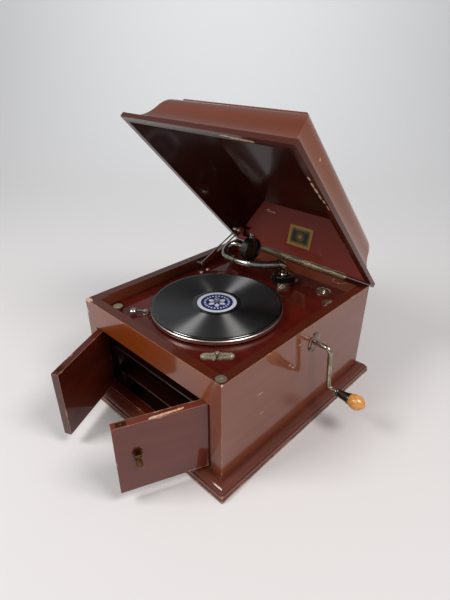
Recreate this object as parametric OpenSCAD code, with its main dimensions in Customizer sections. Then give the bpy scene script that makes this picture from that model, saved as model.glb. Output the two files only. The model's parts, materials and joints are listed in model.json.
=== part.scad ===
// Table gramophone cabinet, in millimetres. Doors face -Y, the crank is on +X, +Z is up.
// The rest pose has the lid on its stay, both doors ajar and the soundbox thrown back.

/* [Case] */
// Outside width of the case
case_w = 370; // [320:1:430]
// Outside depth of the case
case_d = 436; // [400:1:500]
// Height of the case rim above the table
rim_h = 222; // [200:1:260]
// Thickness of the case boards
wall = 19; // [14:1:22]
// How far the motorboard lies below the rim
board_drop = 22; // [16:1:30]
// Thickness of the motorboard
board_t = 12; // [8:1:16]
// Thickness of the base board
base_t = 12; // [8:1:16]
// Width of the front stiles beside the doors
stile_w = 26; // [22:1:34]
// Height of the rail over the doors
rail_h = 53; // [45:1:60]
// Height of the plinth moulding
plinth_h = 26; // [20:1:32]
// How far the plinth stands out from the case
plinth_out = 22; // [14:1:28]
// Height of the door sill above the plinth
sill_h = 3; // [2:1:14]

/* [Lid] */
// Overhang of the lid at the front and sides
lid_over = 6; // [3:0.5:10]
// Overhang of the lid at the back
lid_over_back = 10; // [8:0.5:14]
// Height of the lid's moulding
lid_h = 88; // [80:1:100]
// Height of the plain band round the lid's rim
lid_band = 9; // [7:1:14]
// Inset of the lid's shoulder from its rim
lid_inset = 56; // [48:1:64]
// Thickness of the thin top panel
top_t = 3; // [2:0.5:8]
// Thickness of the canted lining, measured level
lining_t = 5; // [3:0.5:7]
// Width of the underside of the lid's rim
lid_rim_w = 13; // [12:0.5:16]
// Width of the rim's underside at the back, where the hinge leaf lies
lid_back_w = 20; // [18:0.5:22]
// Opening of the lid at rest, in degrees
lid_open = 45.8; // [30:0.1:46]
// Distance of the hinge line behind the case back
hinge_back = 2; // [1:0.5:4]
// Height of the hinge line above the rim
hinge_up = 1.5; // [1:0.5:2]
// Radius of the hinge knuckles
knuckle_r = 2.5; // [2:0.1:3]
// Radius of the hinge pin
hinge_pin_r = 0.9; // [0.6:0.1:1.4]
// Number of hinge knuckles
knuckles = 9; // [5:2:15]

/* [Stay] */
// Height of the stay's lower pivot above the motorboard
stay_up = 11; // [8:0.5:16]
// Place of the stay's lower pivot, front to back
stay_y = 68; // [50:1:80]
// Place of the stay's upper pin when the lid is shut, front to back
stay_pin_y = 176; // [172:0.5:180]
// Height of the upper pin above the rim when the lid is shut
stay_pin_up = 9; // [8:0.5:11]
// Radius of the upper pin
stay_pin_r = 1.8; // [1.5:0.1:2.2]
// Angle of the bar above level with the lid open, in degrees
stay_rest = 22.07; // [20:0.01:24]
// Turn of the bar for each degree of the lid
stay_ratio = 0.2306; // [0.2306:0.0001:0.2306]
// Room for the upper pin to either side in the slot
stay_play = 2.25; // [2:0.05:3]
// Thickness of the bar
stay_t = 2; // [1.5:0.1:2.5]

/* [Doors] */
// Thickness of the doors
door_t = 14; // [11:1:16]
// Gap between a door and the frame round it
door_gap = 1; // [0.8:0.1:2]
// Distance of the door pins from the frame's edge
door_pin_in = 8.2; // [8:0.1:12]
// Depth of the door pins behind the door's face
door_pin_back = 4; // [3.5:0.1:6]
// Radius of the door pins
door_pin_r = 2.5; // [1.5:0.1:3]
// Opening of the left door at rest, in degrees
left_open = 64; // [0:1:110]
// Opening of the right door at rest, in degrees
right_open = 66; // [0:1:110]
// Distance of a pull from the door's free edge
pull_in = 34; // [24:1:50]
// Length of the hanging part of a pull
pull_len = 26; // [18:1:34]

/* [Turntable] */
// Radius of the record
record_r = 127; // [120:0.5:128]
// Place of the spindle, front to back
spindle_y = -41.5; // [-46:0.5:-38]
// Radius of the spindle's tip
spindle_r = 3.6; // [3:0.05:3.7]
// Radius of the platter
platter_r = 128.5; // [128:0.5:132]
// Height of the platter's rim
platter_h = 8.5; // [6:0.5:10]
// Height of the platter's underside above the motorboard
platter_up = 3; // [2:0.5:6]
// Thickness of the mat
mat_t = 2; // [1:0.5:3]
// Thickness of the record
record_t = 2; // [1.5:0.1:2.5]
// Radius of the record's label
label_r = 38.5; // [35:0.5:42]

/* [Tonearm] */
// Place of the tonearm's foot, left to right
arm_x = 24; // [10:1:40]
// Place of the tonearm's foot, front to back
arm_y = 142; // [132:1:146]
// Radius of the tonearm's foot
foot_r = 24.5; // [20:0.5:26]
// Height of the tonearm's centreline above the motorboard
arm_up = 46; // [44:0.5:47]
// Radius of the tube at the elbow
arm_r = 9; // [8:0.1:10]
// Radius of the tube at the collar
arm_end_r = 6.9; // [6.5:0.1:7.5]
// Place of the gooseneck joint, left to right
neck_x = -81.5; // [-84:0.5:-78]
// Place of the gooseneck joint, front to back
neck_y = 79.5; // [76:0.5:82]
// Length of the straight collar beside the gooseneck
collar_len = 18; // [16:0.5:22]
// Radius of the gooseneck's bend
neck_bend = 19.8; // [19.6:0.1:20.5]
// Radius of the gooseneck's tube
neck_r = 6.5; // [5.5:0.1:7]
// Lean of the thrown-back gooseneck past upright, in degrees
neck_lean = 60; // [55:1:62]
// Radius of the soundbox
box_r = 27; // [25:0.5:27.5]
// Thickness of the soundbox
box_t = 16; // [12:0.5:18]

/* [Crank] */
// Place of the winding shaft, front to back
crank_y = 25; // [20:1:30]
// Depth of the winding shaft under the motorboard
crank_drop = 10; // [10:1:14]
// Radius of the crank's rod
rod_r = 4.5; // [4:0.1:5]
// Radius at which the grip goes round
crank_throw = 94.8; // [80:0.5:100]
// Tilt of the crank's arm at rest, in degrees
crank_tilt = 7.2; // [0:0.1:20]
// Distance of the arm from the case side
crank_out = 35; // [28:1:40]
// Radius of the grip at its widest
grip_r = 14.7; // [12:0.1:16]
// Length of the grip
grip_len = 31; // [26:1:40]
// Length of the grip's ferrule
ferrule_len = 27; // [20:1:30]
// Radius of the escutcheon
escutcheon_r = 19; // [15:0.5:22]

/* [Motor] */
// Tooth size of the driving gears
gear_m = 1.6; // [1.6:0.1:1.6]
// Teeth of the barrel's gear
barrel_teeth = 60; // [60:1:60]
// Teeth of the spindle's pinion
pinion_teeth = 12; // [12:1:12]
// Radius of the spring barrel
barrel_r = 36; // [30:0.5:37]
// Height of the spring barrel
barrel_h = 21; // [16:0.5:21.5]
// Teeth of the winding wheel
winding_teeth = 40; // [40:1:40]
// Teeth of the wheel that drives the governor
governor_teeth = 48; // [48:1:48]
// Distance of the governor in front of the spindle
governor_out = 22.5; // [21:0.5:24]
// Radius at which the governor's weights turn
weight_out = 11; // [9:0.5:11]
// Depth of the motor under the motorboard
motor_depth = 51; // [51:0.5:52]

/* [Fittings] */
// Radius of a needle cup's rim
cup_r = 16.5; // [12:0.5:16.5]
// Depth of a needle cup
cup_depth = 15; // [10:0.5:18]
// Distance of the nearer needle cup from the case's right side
cup_side = 19; // [18:0.5:24]
// Distance of the other needle cup from the case's back
cup_back = 34; // [30:1:40]
// Step between the two needle cups, left to right
cup_step_x = 37; // [34:1:40]
// Step between the two needle cups, front to back
cup_step_y = 34; // [30:1:38]
// Size of the round knob on the motorboard and of the lid's rest in the rim
rosette_r = 11.5; // [8:0.5:11.5]
// Length of the speed plate
plate_len = 58; // [50:1:62]
// Width of the speed plate
plate_w = 18; // [14:1:20]
// Half the width of the horn's mouth at its foot
mouth_low = 112; // [100:1:120]
// Half the width of the horn's mouth at its top
mouth_high = 141; // [130:1:142]
// Height of the upper louvre's front edge
louvre_high = 133; // [120:1:140]
// Height of the lower louvre's front edge
louvre_low = 80; // [65:1:90]
// Radius of the horn's elbow, inside
horn_r = 15; // [12:0.5:15]

/* [Fits] */
// Radial clearance of turning fits
run_fit = 0.05; // [0.02:0.01:0.1]
// Gap between soft or curved faces
soft_gap = 0.3; // [0.2:0.05:0.5]
// Facets of a full circle in round meshes
fine = 72; // [48:4:120]

/* [Hidden] */
$fn = fine;

hx = case_w / 2;
hy = case_d / 2;
ix = hx - wall;
iy = hy - wall;
board_z = rim_h - board_drop;
under_z = board_z - board_t;
sill_z = plinth_h + sill_h;
rail_z = rim_h - rail_h;
open_x = hx - stile_w;

// Lid frame: half sizes and the place of its middle
lid_hx = hx + lid_over;
lid_hy = hy + (lid_over + lid_over_back) / 2;
lid_cy = (lid_over_back - lid_over) / 2;
lid_z = rim_h;
ceil_z = lid_h - 2;
cant_top = lid_inset + 20;
cant = (cant_top - lid_rim_w) / ceil_z;
cant_back = (cant_top - lid_back_w) / ceil_z;
lid_deep = lid_rim_w + cant * lid_h;
hinge_y = hy + hinge_back;
hinge_z = rim_h + hinge_up;
hinge_half = 131;
knuckle_len = 2 * hinge_half / knuckles;

// Doors: pins, sizes and heights
pin_x = open_x - door_pin_in;
pin_y = -hy + door_pin_back;
door_edge = open_x - 1.3;
door_low = sill_z + door_gap;
door_high = rail_z - door_gap;
pull_z = (door_low + door_high) / 2 + 10;

// Turntable heights
platter_z = board_z + platter_up;
deck_z = platter_z + platter_h;
mat_z = deck_z + mat_t;
record_z = mat_z + record_t;

// Tonearm: the tube leaves the elbow at a heading that brings it level with -X at the collar
arm_z = board_z + arm_up;
elbow_r = 16;
tube_end = [neck_x + collar_len, neck_y];
function exit_at(h) = [arm_x + elbow_r * cos(h), arm_y + elbow_r * sin(h)];
function chord(h) = tube_end - exit_at(h);
function chord_a(h) = 360 + atan2(chord(h)[1], chord(h)[0]);
function heading(h, n) = n == 0 ? h : heading(2 * chord_a(h) - 180, n - 1);
head_a = heading(247, 14);
turn_a = head_a - 180;
arc_r = norm(chord(head_a)) / (2 * sin(turn_a / 2));
arc_c = tube_end + [0, arc_r];

// Motor: centres that follow from the gears
motor_z = under_z - motor_depth;
crank_z = under_z - crank_drop;
mesh_d = gear_m * (barrel_teeth + pinion_teeth) / 2;
barrel_x = sqrt(mesh_d * mesh_d - spindle_y * spindle_y);
gear_z = motor_z + 6;
barrel_z = gear_z + 4;
wheel_z = crank_z - 3;
worm_r = 4.6;
winding_m = 2 * (crank_y - worm_r - soft_gap) / (winding_teeth + 1.7);
gov_y = spindle_y - governor_out;
gov_z = crank_z - 20;
gov_worm_r = 3;
gov_wheel_m = 2 * (governor_out - gov_worm_r - soft_gap) / (governor_teeth + 1.7);

// Crank
arm_plane = hx + crank_out;
bend = 10;
grip_x = arm_plane + bend + 10;

// Helpers
module box(a, b) {
  translate(a) cube(b - a);
}
module bar_x(p, r, l) {
  translate(p) rotate([0, 90, 0]) cylinder(r = r, h = l);
}
module turned_x(p, pts) {
  translate(p) rotate([0, 90, 0]) rotate_extrude() polygon(pts);
}
function bez(p, t) = pow(1 - t, 3) * p[0] + 3 * pow(1 - t, 2) * t * p[1] +
  3 * (1 - t) * t * t * p[2] + pow(t, 3) * p[3];
function curve(p, n) = [for (i = [0 : n]) bez(p, i / n)];

// One mitred side of a rectangular frame: 0 front, 1 right, 2 back, 3 left
module frame_side(i, fx, fy, pts, deep) {
  half = i % 2 == 0 ? fx : fy;
  off = i % 2 == 0 ? fy : fx;
  rotate([0, 0, 90 * i]) intersection() {
    translate([-half, -off, 0]) rotate([90, 0, 90]) linear_extrude(2 * half) polygon(pts);
    linear_extrude(lid_h + 1)
      polygon([[-half, -off], [half, -off], [half - deep, deep - off], [deep - half, deep - off]]);
  }
}

// Spur gear with straight-flanked teeth cut thin, so that there is backlash
module spur(n, m, h) {
  tip = n * m / 2 + 0.85 * m;
  root = n * m / 2 - 1.15 * m;
  a = 360 / n;
  linear_extrude(h) polygon([for (i = [0 : n - 1]) for (s = [[root, -0.27], [n * m / 2, -0.18],
    [tip, -0.08], [tip, 0.08], [n * m / 2, 0.18], [root, 0.27]])
    s[0] * [cos(a * (i + s[1])), sin(a * (i + s[1]))]]);
}

// Six-faced solid between two four-cornered ends, corners listed round each end
module between(a, b) {
  polyhedron(concat(a, b), [[3, 2, 1, 0], [4, 5, 6, 7], [0, 1, 5, 4], [1, 2, 6, 5],
    [2, 3, 7, 6], [3, 0, 4, 7]]);
}

// Horn: mouth and throat are trapezia with sides of one slope, so every board is flat
horn_front = -iy;
horn_back = arm_y - horn_r - 10;
horn_low = sill_z;
horn_high = rail_z;
side_slope = (mouth_high - mouth_low) / (horn_high - horn_low);
throat_low = horn_low + 3;
throat_high = throat_low + 2 * horn_r + 6;
throat_half = horn_r - 1;
function mix(a, b, t) = a + (b - a) * t;
function horn_ring(y, g) = let (
    t = (y - horn_front) / (horn_back - horn_front),
    zl = mix(horn_low, throat_low, t),
    zh = mix(horn_high, throat_high, t),
    xl = mix(mouth_low, throat_half, t),
    xh = xl + (zh - zl) * side_slope,
    c = mix(0, arm_x, t))
  [[c - xl - g, y, zl - g], [c + xl + g, y, zl - g], [c + xh + g, y, zh + g], [c - xh - g, y, zh + g]];
module horn_space(y0, y1, g) {
  between(horn_ring(y0, g), horn_ring(y1, g));
}

// Side boards with the front stiles worked on them
module side_board(s) {
  union() {
    box([s > 0 ? ix : -hx, -hy, 0], [s > 0 ? hx : -ix, iy, rim_h]);
    box([s > 0 ? open_x : -hx, -hy, 0], [s > 0 ? hx : -open_x, -iy, rim_h]);
  }
}
module side_left() {
  color([0.36, 0.12, 0.07]) side_board(-1);
}
module side_right() {
  color([0.36, 0.12, 0.07]) difference() {
    side_board(1);
    bar_x([ix - 1, crank_y, crank_z], 8, wall + 2);
    translate([rest_p[0], rest_p[1], rim_h - 3]) cylinder(r = rosette_r - 2.6, h = 5);
  }
}
module back_panel() {
  color([0.36, 0.12, 0.07]) difference() {
    box([-hx, iy, 0], [hx, hy, rim_h]);
    box([-hinge_half - 0.2, hy - 14, rim_h - 1], [hinge_half + 0.2, hy + 1, rim_h + 1]);
    bar_x([-hinge_half - 0.2, hinge_y, hinge_z], knuckle_r + 0.4, 2 * hinge_half + 0.4);
  }
}
module top_rail() {
  color([0.38, 0.13, 0.07]) difference() {
    box([-open_x, -hy, rail_z], [open_x, -iy, rim_h]);
    for (s = [-1, 1]) {
      translate([s * pin_x, pin_y, rail_z - 1]) cylinder(r = door_pin_r, h = 11);
      translate([s * 15, -hy + 7, rail_z - 1]) cylinder(r = 3.5, h = 12);
    }
  }
}
module door_sill() {
  color([0.3, 0.09, 0.05]) difference() {
    box([-open_x, -hy, 0], [open_x, -iy, sill_z]);
    for (s = [-1, 1]) translate([s * pin_x, pin_y, sill_z - 10]) cylinder(r = door_pin_r, h = 11);
  }
}
module base_board() {
  color([0.45, 0.3, 0.18]) box([-ix, -iy, 0], [ix, iy, base_t]);
}

// Plinth moulding, as inset from its outer face against height
plinth_pts = concat([[0, 0], [0, 5], [1.2, 6.2], [1.2, plinth_h * 0.46], [3.6, plinth_h * 0.5]],
  [for (i = [0 : 9]) [plinth_out - 4 - (plinth_out - 8) * cos(i * 10),
    plinth_h * 0.5 + (plinth_h * 0.5 - 3) * sin(i * 10)]],
  [[plinth_out - 3.5, plinth_h - 3], [plinth_out - 3.5, plinth_h], [plinth_out, plinth_h], [plinth_out, 0]]);
module plinth(i) {
  color([0.32, 0.1, 0.06]) frame_side(i, hx + plinth_out, hy + plinth_out, plinth_pts, plinth_out + 1);
}
module plinth_front() {
  plinth(0);
}
module plinth_right() {
  plinth(1);
}
module plinth_back() {
  plinth(2);
}
module plinth_left() {
  plinth(3);
}

cup_a = [ix - cup_side - cup_step_x, iy - cup_back];
cup_b = [ix - cup_side, iy - cup_back - cup_step_y];
knob_p = [-139.6, -176.5];
rest_p = [hx - 12.4, -hy + 11.2];
brake_p = [-84, -152];
speed_a = -44.9;
speed_p = [0, spindle_y] + 150 * [cos(speed_a), sin(speed_a)];
module motorboard() {
  color([0.34, 0.11, 0.06]) difference() {
    box([-ix, -iy, under_z], [ix, iy, board_z]);
    translate([0, spindle_y, under_z - 1]) cylinder(r = 8, h = board_t + 2);
    translate([arm_x, arm_y, under_z - 1]) cylinder(r = horn_r + 3, h = board_t + 2);
    for (p = [cup_a, cup_b]) translate([p[0], p[1], under_z - 1]) cylinder(r = cup_r - 2, h = board_t + 2);
    translate([brake_p[0], brake_p[1], board_z - 6]) cylinder(r = 2.5, h = 8);
  }
}
module board_fixings() {
  color([0.78, 0.77, 0.72]) {
    translate([knob_p[0], knob_p[1], board_z]) union() {
      cylinder(r = 5, h = 1.4);
      cylinder(r = 3, h = 6);
      translate([0, 0, 5]) cylinder(r = rosette_r - 2, h = 1.6);
      translate([0, 0, 6]) cylinder(r = rosette_r - 5, h = 1.4);
    }
    translate([rest_p[0], rest_p[1], rim_h - 3]) difference() {
      cylinder(r = rosette_r - 2.6, h = 3);
      translate([0, 0, 2.4]) cylinder(r = 2, h = 2);
    }
    for (y = [51, 71]) translate([-141, y, board_z]) difference() {
      intersection() {
        cylinder(r = 5, h = 4);
        translate([0, 0, -4]) sphere(r = 7);
      }
      translate([-6, -0.5, 2]) cube([12, 1, 3]);
    }
  }
}

// The wooden horn: front frame and four splayed boards
module horn_box() {
  color([0.12, 0.05, 0.03]) difference() {
    union() {
      box([-ix, horn_front, base_t], [ix, horn_front + 6, under_z]);
      horn_space(horn_front + 2, horn_back, 6.5);
    }
    horn_space(horn_front - 5, horn_back + 1, 0);
  }
}
module louvre(z) {
  color([0.3, 0.12, 0.07]) intersection() {
    translate([0, -iy - 4, z]) rotate([-24, 0, 0]) union() {
      box([-hx, 1.5, -3.5], [hx, 46, 0]);
      bar_x([-hx, 1.75, -1.75], 1.75, case_w);
    }
    horn_space(horn_front - 10, horn_front + 60, 0);
  }
}
module louvres() {
  louvre(louvre_high);
  louvre(louvre_low);
}
elbow_low = throat_low + horn_r + 2;
module pipe(r, over) {
  translate([arm_x, arm_y, elbow_low + horn_r + 10]) cylinder(r = r, h = board_z - elbow_low - horn_r - 10 + over);
  translate([arm_x, arm_y - horn_r - 10, elbow_low + horn_r + 10]) rotate([90, 0, 90])
    rotate([0, 0, -90]) rotate_extrude(angle = 90) translate([horn_r + 10, 0]) circle(r);
}
module horn_elbow() {
  color([0.2, 0.2, 0.2]) difference() {
    union() {
      pipe(horn_r + 3, 0);
      box([arm_x - throat_half - 15, horn_back, throat_low - 5], [arm_x + throat_half + 15, horn_back + 4, throat_high + 5]);
    }
    pipe(horn_r, 1);
    translate([arm_x, horn_back + 5, elbow_low]) rotate([90, 0, 0]) cylinder(r = horn_r, h = 10);
  }
}
module arm_flange() {
  color([0.7, 0.7, 0.68]) difference() {
    union() {
      translate([arm_x, arm_y, board_z]) cylinder(r = foot_r, h = 9);
      for (a = [60, 180, 300]) translate([arm_x, arm_y, board_z]) rotate([0, 0, a]) union() {
        box([0, -6, 0], [foot_r + 5, 6, 2]);
        translate([foot_r + 5, 0, 0]) cylinder(r = 6, h = 2);
        translate([foot_r + 5, 0, 1.5]) cylinder(r = 3, h = 1.7);
      }
    }
    translate([arm_x, arm_y, board_z - 1]) cylinder(r = 11, h = 20);
    translate([arm_x, arm_y, board_z + 3]) cylinder(r = 16 + run_fit, h = 20);
  }
}
module needle_cups() {
  color([0.75, 0.74, 0.7]) for (p = [cup_a, cup_b]) translate([p[0], p[1], board_z]) difference() {
    union() {
      cylinder(r = cup_r, h = 1.4);
      translate([0, 0, -cup_depth]) cylinder(r = cup_r - 2.2, h = cup_depth + 0.5);
    }
    translate([0, 0, 1.5 - cup_depth]) cylinder(r1 = cup_r - 6, r2 = cup_r - 3, h = cup_depth + 1);
  }
}
module crank_escutcheon() {
  color([0.72, 0.62, 0.42]) difference() {
    union() {
      turned_x([hx, crank_y, crank_z], concat([[0, 0], [escutcheon_r, 0], [escutcheon_r, 1]],
        [for (i = [0 : 6]) [mix(escutcheon_r - 1, 9, i / 6), 1.4 + 2.2 * sin(i * 15)]], [[0, 3.6]]));
      bar_x([ix - 4, crank_y, crank_z], 8, wall + 5);
    }
    bar_x([ix - 8, crank_y, crank_z], rod_r + run_fit, wall + 20);
  }
}

// Continuous hinge: odd knuckles and the pin belong to the case leaf
module knuckle_run(first, r_in) {
  for (i = [first : 2 : knuckles - 1])
    bar_x([-hinge_half + i * knuckle_len + 0.15, hinge_y, hinge_z], knuckle_r, knuckle_len - 0.3);
}
module hinge_case_leaf() {
  color([0.74, 0.73, 0.68]) union() {
    box([-hinge_half, hy - 13, rim_h - 1], [hinge_half, hinge_y - 2.8, rim_h]);
    for (i = [0 : 2 : knuckles - 1])
      box([-hinge_half + i * knuckle_len + 0.15, hy - 4, rim_h - 1], [-hinge_half + (i + 1) * knuckle_len - 0.15, hinge_y, rim_h]);
    knuckle_run(0);
    bar_x([-hinge_half + 1, hinge_y, hinge_z], hinge_pin_r, 2 * hinge_half - 2);
  }
}
module opened(a) {
  translate([0, hinge_y, hinge_z]) rotate([-a, 0, 0]) translate([0, -hinge_y, -hinge_z]) children();
}
module hinge_lid_leaf() {
  color([0.74, 0.73, 0.68]) opened(lid_open) difference() {
    union() {
      box([-hinge_half, hy - 13, rim_h], [hinge_half, hinge_y - 2.8, rim_h + 1]);
      for (i = [1 : 2 : knuckles - 1])
        box([-hinge_half + i * knuckle_len + 0.15, hy - 4, rim_h], [-hinge_half + (i + 1) * knuckle_len - 0.15, hinge_y, rim_h + 1]);
      knuckle_run(1);
    }
    bar_x([-hx, hinge_y, hinge_z], hinge_pin_r + run_fit, case_w);
  }
}

// Lid moulding, as inset from its outer face against height
ogee_pts = concat([[0, 0], [0, lid_band]],
  curve([[1.5, lid_band + 1.2], [lid_inset * 0.4, lid_band + 7], [lid_inset * 0.5, lid_h * 0.42], [lid_inset * 0.565, lid_h * 0.64]], 12),
  curve([[lid_inset * 0.565, lid_h * 0.64], [lid_inset * 0.63, lid_h * 0.84], [lid_inset * 0.76, lid_h * 0.94], [lid_inset - 1, lid_h - 1]], 10),
  [[lid_inset + 2, lid_h], [lid_deep - lining_t, lid_h], [lid_rim_w - lining_t, 0]]);

// Room in the lid's walls for the end of the stay, which swings round the lid's pin
function pin_at(a) = [hinge_y + pin_dy * cos(a) + pin_dz * sin(a), hinge_z - pin_dy * sin(a) + pin_dz * cos(a)];
function bar_at(a) = stay_rest - stay_ratio * (lid_open - a) + a;
module stay_pocket() {
  opened(lid_open) translate([stay_x - 4, stay_pin_y, rim_h + stay_pin_up]) rotate([90, 0, 90])
    linear_extrude(20) hull() {
      circle(stay_wide + 1, $fn = 24);
      for (a = [0 : lid_open / 8 : lid_open])
        translate((reach_open + 1 - norm(pin_at(a) - stay_c)) * [cos(bar_at(a)), sin(bar_at(a))])
          circle(stay_wide + 1.2, $fn = 24);
    }
}
module hinge_room() {
  opened(lid_open) {
    bar_x([-hinge_half - 0.2, hinge_y, hinge_z], knuckle_r + 0.3, 2 * hinge_half + 0.4);
    box([-hinge_half - 0.2, hy - 14, rim_h - 5], [hinge_half + 0.2, hinge_y, rim_h + 1]);
  }
}
module lid_side(i) {
  color([0.42, 0.15, 0.09]) opened(lid_open) translate([0, lid_cy, lid_z])
    frame_side(i, lid_hx, lid_hy, ogee_pts, lid_deep - lining_t);
}
module lid_front() {
  lid_side(0);
}
module lid_right() {
  lid_side(1);
}
module lid_back() {
  difference() {
    lid_side(2);
    hinge_room();
    stay_pocket();
  }
}
module lid_left() {
  difference() {
    lid_side(3);
    stay_pocket();
  }
}
module lid_top() {
  color([0.44, 0.16, 0.09]) opened(lid_open)
    box([-lid_hx + lid_inset - 0.5, lid_cy - lid_hy + lid_inset - 2.5, lid_z + lid_h],
      [lid_hx - lid_inset + 0.5, lid_cy + lid_hy - lid_inset + 0.5, lid_z + lid_h + top_t]);
}
function lid_ring(t, b, z) = [[t - lid_hx, t - lid_hy, z], [t - lid_hx, lid_hy - b, z],
  [lid_hx - t, lid_hy - b, z], [lid_hx - t, t - lid_hy, z]];
module lid_lining() {
  color([0.4, 0.15, 0.1]) difference() {
    opened(lid_open) translate([0, lid_cy, lid_z]) difference() {
      between(lid_ring(lid_rim_w - lining_t, lid_rim_w - lining_t, 0),
        lid_ring(lid_deep - lining_t, lid_deep - lining_t, lid_h));
      between(lid_ring(lid_rim_w - cant, lid_back_w - cant_back, -1),
        lid_ring(cant_top, cant_top, ceil_z));
    }
    stay_pocket();
    hinge_room();
  }
}

// Lid stay: stud on the case, slotted bar, pin on the lid
stay_x = -ix + 9.5;
stay_c = [stay_y, board_z + stay_up];
stay_half = stay_pin_r + stay_play;
pin_dy = stay_pin_y - hinge_y;
pin_dz = rim_h + stay_pin_up - hinge_z;
pin_open = [hinge_y + pin_dy * cos(lid_open) + pin_dz * sin(lid_open),
  hinge_z - pin_dy * sin(lid_open) + pin_dz * cos(lid_open)];
reach_open = norm(pin_open - stay_c);
reach_shut = norm([stay_pin_y, rim_h + stay_pin_up] - stay_c);
module stay_case_bracket() {
  color([0.8, 0.79, 0.75]) union() {
    box([-ix, stay_c[0] - 9, board_z + 1], [-ix + 1.6, stay_c[0] + 9, stay_c[1] + 7]);
    bar_x([-ix + 1, stay_c[0], stay_c[1]], 4, stay_x + ix - 1 - 0.1);
    bar_x([-ix + 1, stay_c[0], stay_c[1]], 2, stay_x + ix - 1 + stay_t + 1.6);
    bar_x([stay_x + stay_t + 0.1, stay_c[0], stay_c[1]], 3.4, 1.5);
    for (z = [board_z + 4, stay_c[1] + 4]) bar_x([-ix + 1, stay_c[0] + 6.4, z], 1.9, 1.4);
  }
}
stay_wide = stay_half + 2.6;
slot_from = reach_shut * 0.5;
module stay_bar() {
  color([0.82, 0.81, 0.77]) translate([stay_x, stay_c[0], stay_c[1]]) rotate([stay_rest, 0, 0]) difference() {
    union() {
      bar_x([0, 0, 0], 5.5, stay_t);
      box([0, 0, -5.5], [stay_t, slot_from - 18, 5.5]);
      translate([stay_t, 0, 0]) rotate([90, 0, -90]) linear_extrude(stay_t) polygon([[18 - slot_from, 5.5],
        [8 - slot_from, stay_wide], [8 - slot_from, -stay_wide], [18 - slot_from, -5.5]]);
      box([0, slot_from - 8, -stay_wide], [stay_t, reach_open + 1, stay_wide]);
      bar_x([0, reach_open + 1, 0], stay_wide, stay_t);
    }
    bar_x([-1, 0, 0], 2 + run_fit, stay_t + 2);
    for (d = [slot_from, reach_open + 1]) bar_x([-1, d, 0], stay_half, stay_t + 2);
    box([-1, slot_from, -stay_half], [stay_t + 1, reach_open + 1, stay_half]);
  }
}
module stay_lid_bracket() {
  wall_x = -lid_hx + lid_rim_w + cant * stay_pin_up;
  color([0.8, 0.79, 0.75]) opened(lid_open) difference() {
    translate([0, stay_pin_y, rim_h + stay_pin_up]) union() {
      bar_x([wall_x - 6, 0, 0], 4.5, stay_x - 0.3 - wall_x + 6);
      bar_x([wall_x, 0, 0], stay_pin_r, stay_x + stay_t + 1.6 - wall_x);
      bar_x([stay_x + stay_t + 0.3, 0, 0], stay_half + 1.6, 1.3);
    }
    translate([0, stay_pin_y + 20, rim_h]) rotate([90, 0, 0]) linear_extrude(40) polygon([[-hx - 20, -6],
      [-lid_hx + lid_rim_w - 6 * cant, -6], [-lid_hx + lid_rim_w + 40 * cant, 40], [-hx - 20, 40]]);
  }
}

// Doors, drawn shut and then swung open
module swung(s, a) {
  translate([s * pin_x, pin_y, 0]) rotate([0, 0, s * a]) translate([-s * pin_x, -pin_y, 0]) children();
}
module door(s) {
  difference() {
    box([s > 0 ? door_gap / 2 : -door_edge, -hy, door_low], [s > 0 ? door_edge : -door_gap / 2, -hy + door_t, door_high]);
    for (z = [door_low - 1, door_high - 11]) translate([s * pin_x, pin_y, z]) cylinder(r = door_pin_r + run_fit, h = 12);
    box([min(s * 8, s * 24), -hy + 2.5, door_high - 1.2], [max(s * 8, s * 24), -hy + 11.5, door_high + 1]);
    translate([s * pull_in, -hy - 1, pull_z]) rotate([-90, 0, 0]) cylinder(r = 2.5, h = 8);
  }
}
module fittings(s) {
  color([0.72, 0.6, 0.35]) {
    difference() {
      box([min(s * 8, s * 24), -hy + 2.5, door_high - 1.2], [max(s * 8, s * 24), -hy + 11.5, door_high]);
      translate([s * 15, -hy + 7, door_high + 1.6]) sphere(r = 2.4);
    }
    translate([s * pull_in, -hy, pull_z]) difference() {
      union() {
        rotate([90, 0, 0]) cylinder(r = 8.5, h = 1.2);
        rotate([90, 0, 0]) cylinder(r = 7, h = 1.8);
        rotate([-90, 0, 0]) cylinder(r = 2.5, h = 6);
        for (t = [-1, 1]) box([t * 4 - 1.2, -7.6, -2.6], [t * 4 + 1.2, 0, 2.6]);
        for (t = [-1, 1]) bar_x([t * 4 - 1.2, -7.6, 0], 2.6, 2.4);
        bar_x([-4, -7.6, 0], 1, 8);
      }
    }
  }
}
module pull(s) {
  color([0.76, 0.64, 0.38]) translate([s * pull_in, -hy - 7.6, pull_z]) difference() {
    union() {
      bar_x([-2.4, 0, 0], 2.6, 4.8);
      translate([0, 0, -pull_len]) rotate_extrude() polygon(concat([[0, 0]],
        [for (i = [0 : 12]) [0.3 + 4.6 * pow(sin(180 * pow(i / 12, 0.62)), 0.8) + (i == 12 ? 1.2 : 0.9 * i / 12), pull_len * 0.9 * i / 12]], [[1.5, pull_len - 1.4], [0, pull_len - 1.4]]));
    }
    bar_x([-5, 0, 0], 1 + run_fit, 10);
  }
}
module door_left() {
  color([0.37, 0.12, 0.07]) swung(-1, left_open) door(-1);
}
module left_fittings() {
  swung(-1, left_open) fittings(-1);
}
module left_pull() {
  swung(-1, left_open) pull(-1);
}
module door_right() {
  color([0.37, 0.12, 0.07]) swung(1, right_open) door(1);
}
module right_fittings() {
  swung(1, right_open) fittings(1);
}
module right_pull() {
  swung(1, right_open) pull(1);
}
module door_pins() {
  color([0.7, 0.58, 0.35]) for (s = [-1, 1]) {
    translate([s * pin_x, pin_y, sill_z - 10]) cylinder(r = door_pin_r, h = 20);
    translate([s * pin_x, pin_y, sill_z]) cylinder(r = door_pin_r + 2, h = door_gap * 0.7);
    translate([s * pin_x, pin_y, rail_z - 10]) cylinder(r = door_pin_r, h = 20);
  }
}
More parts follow.
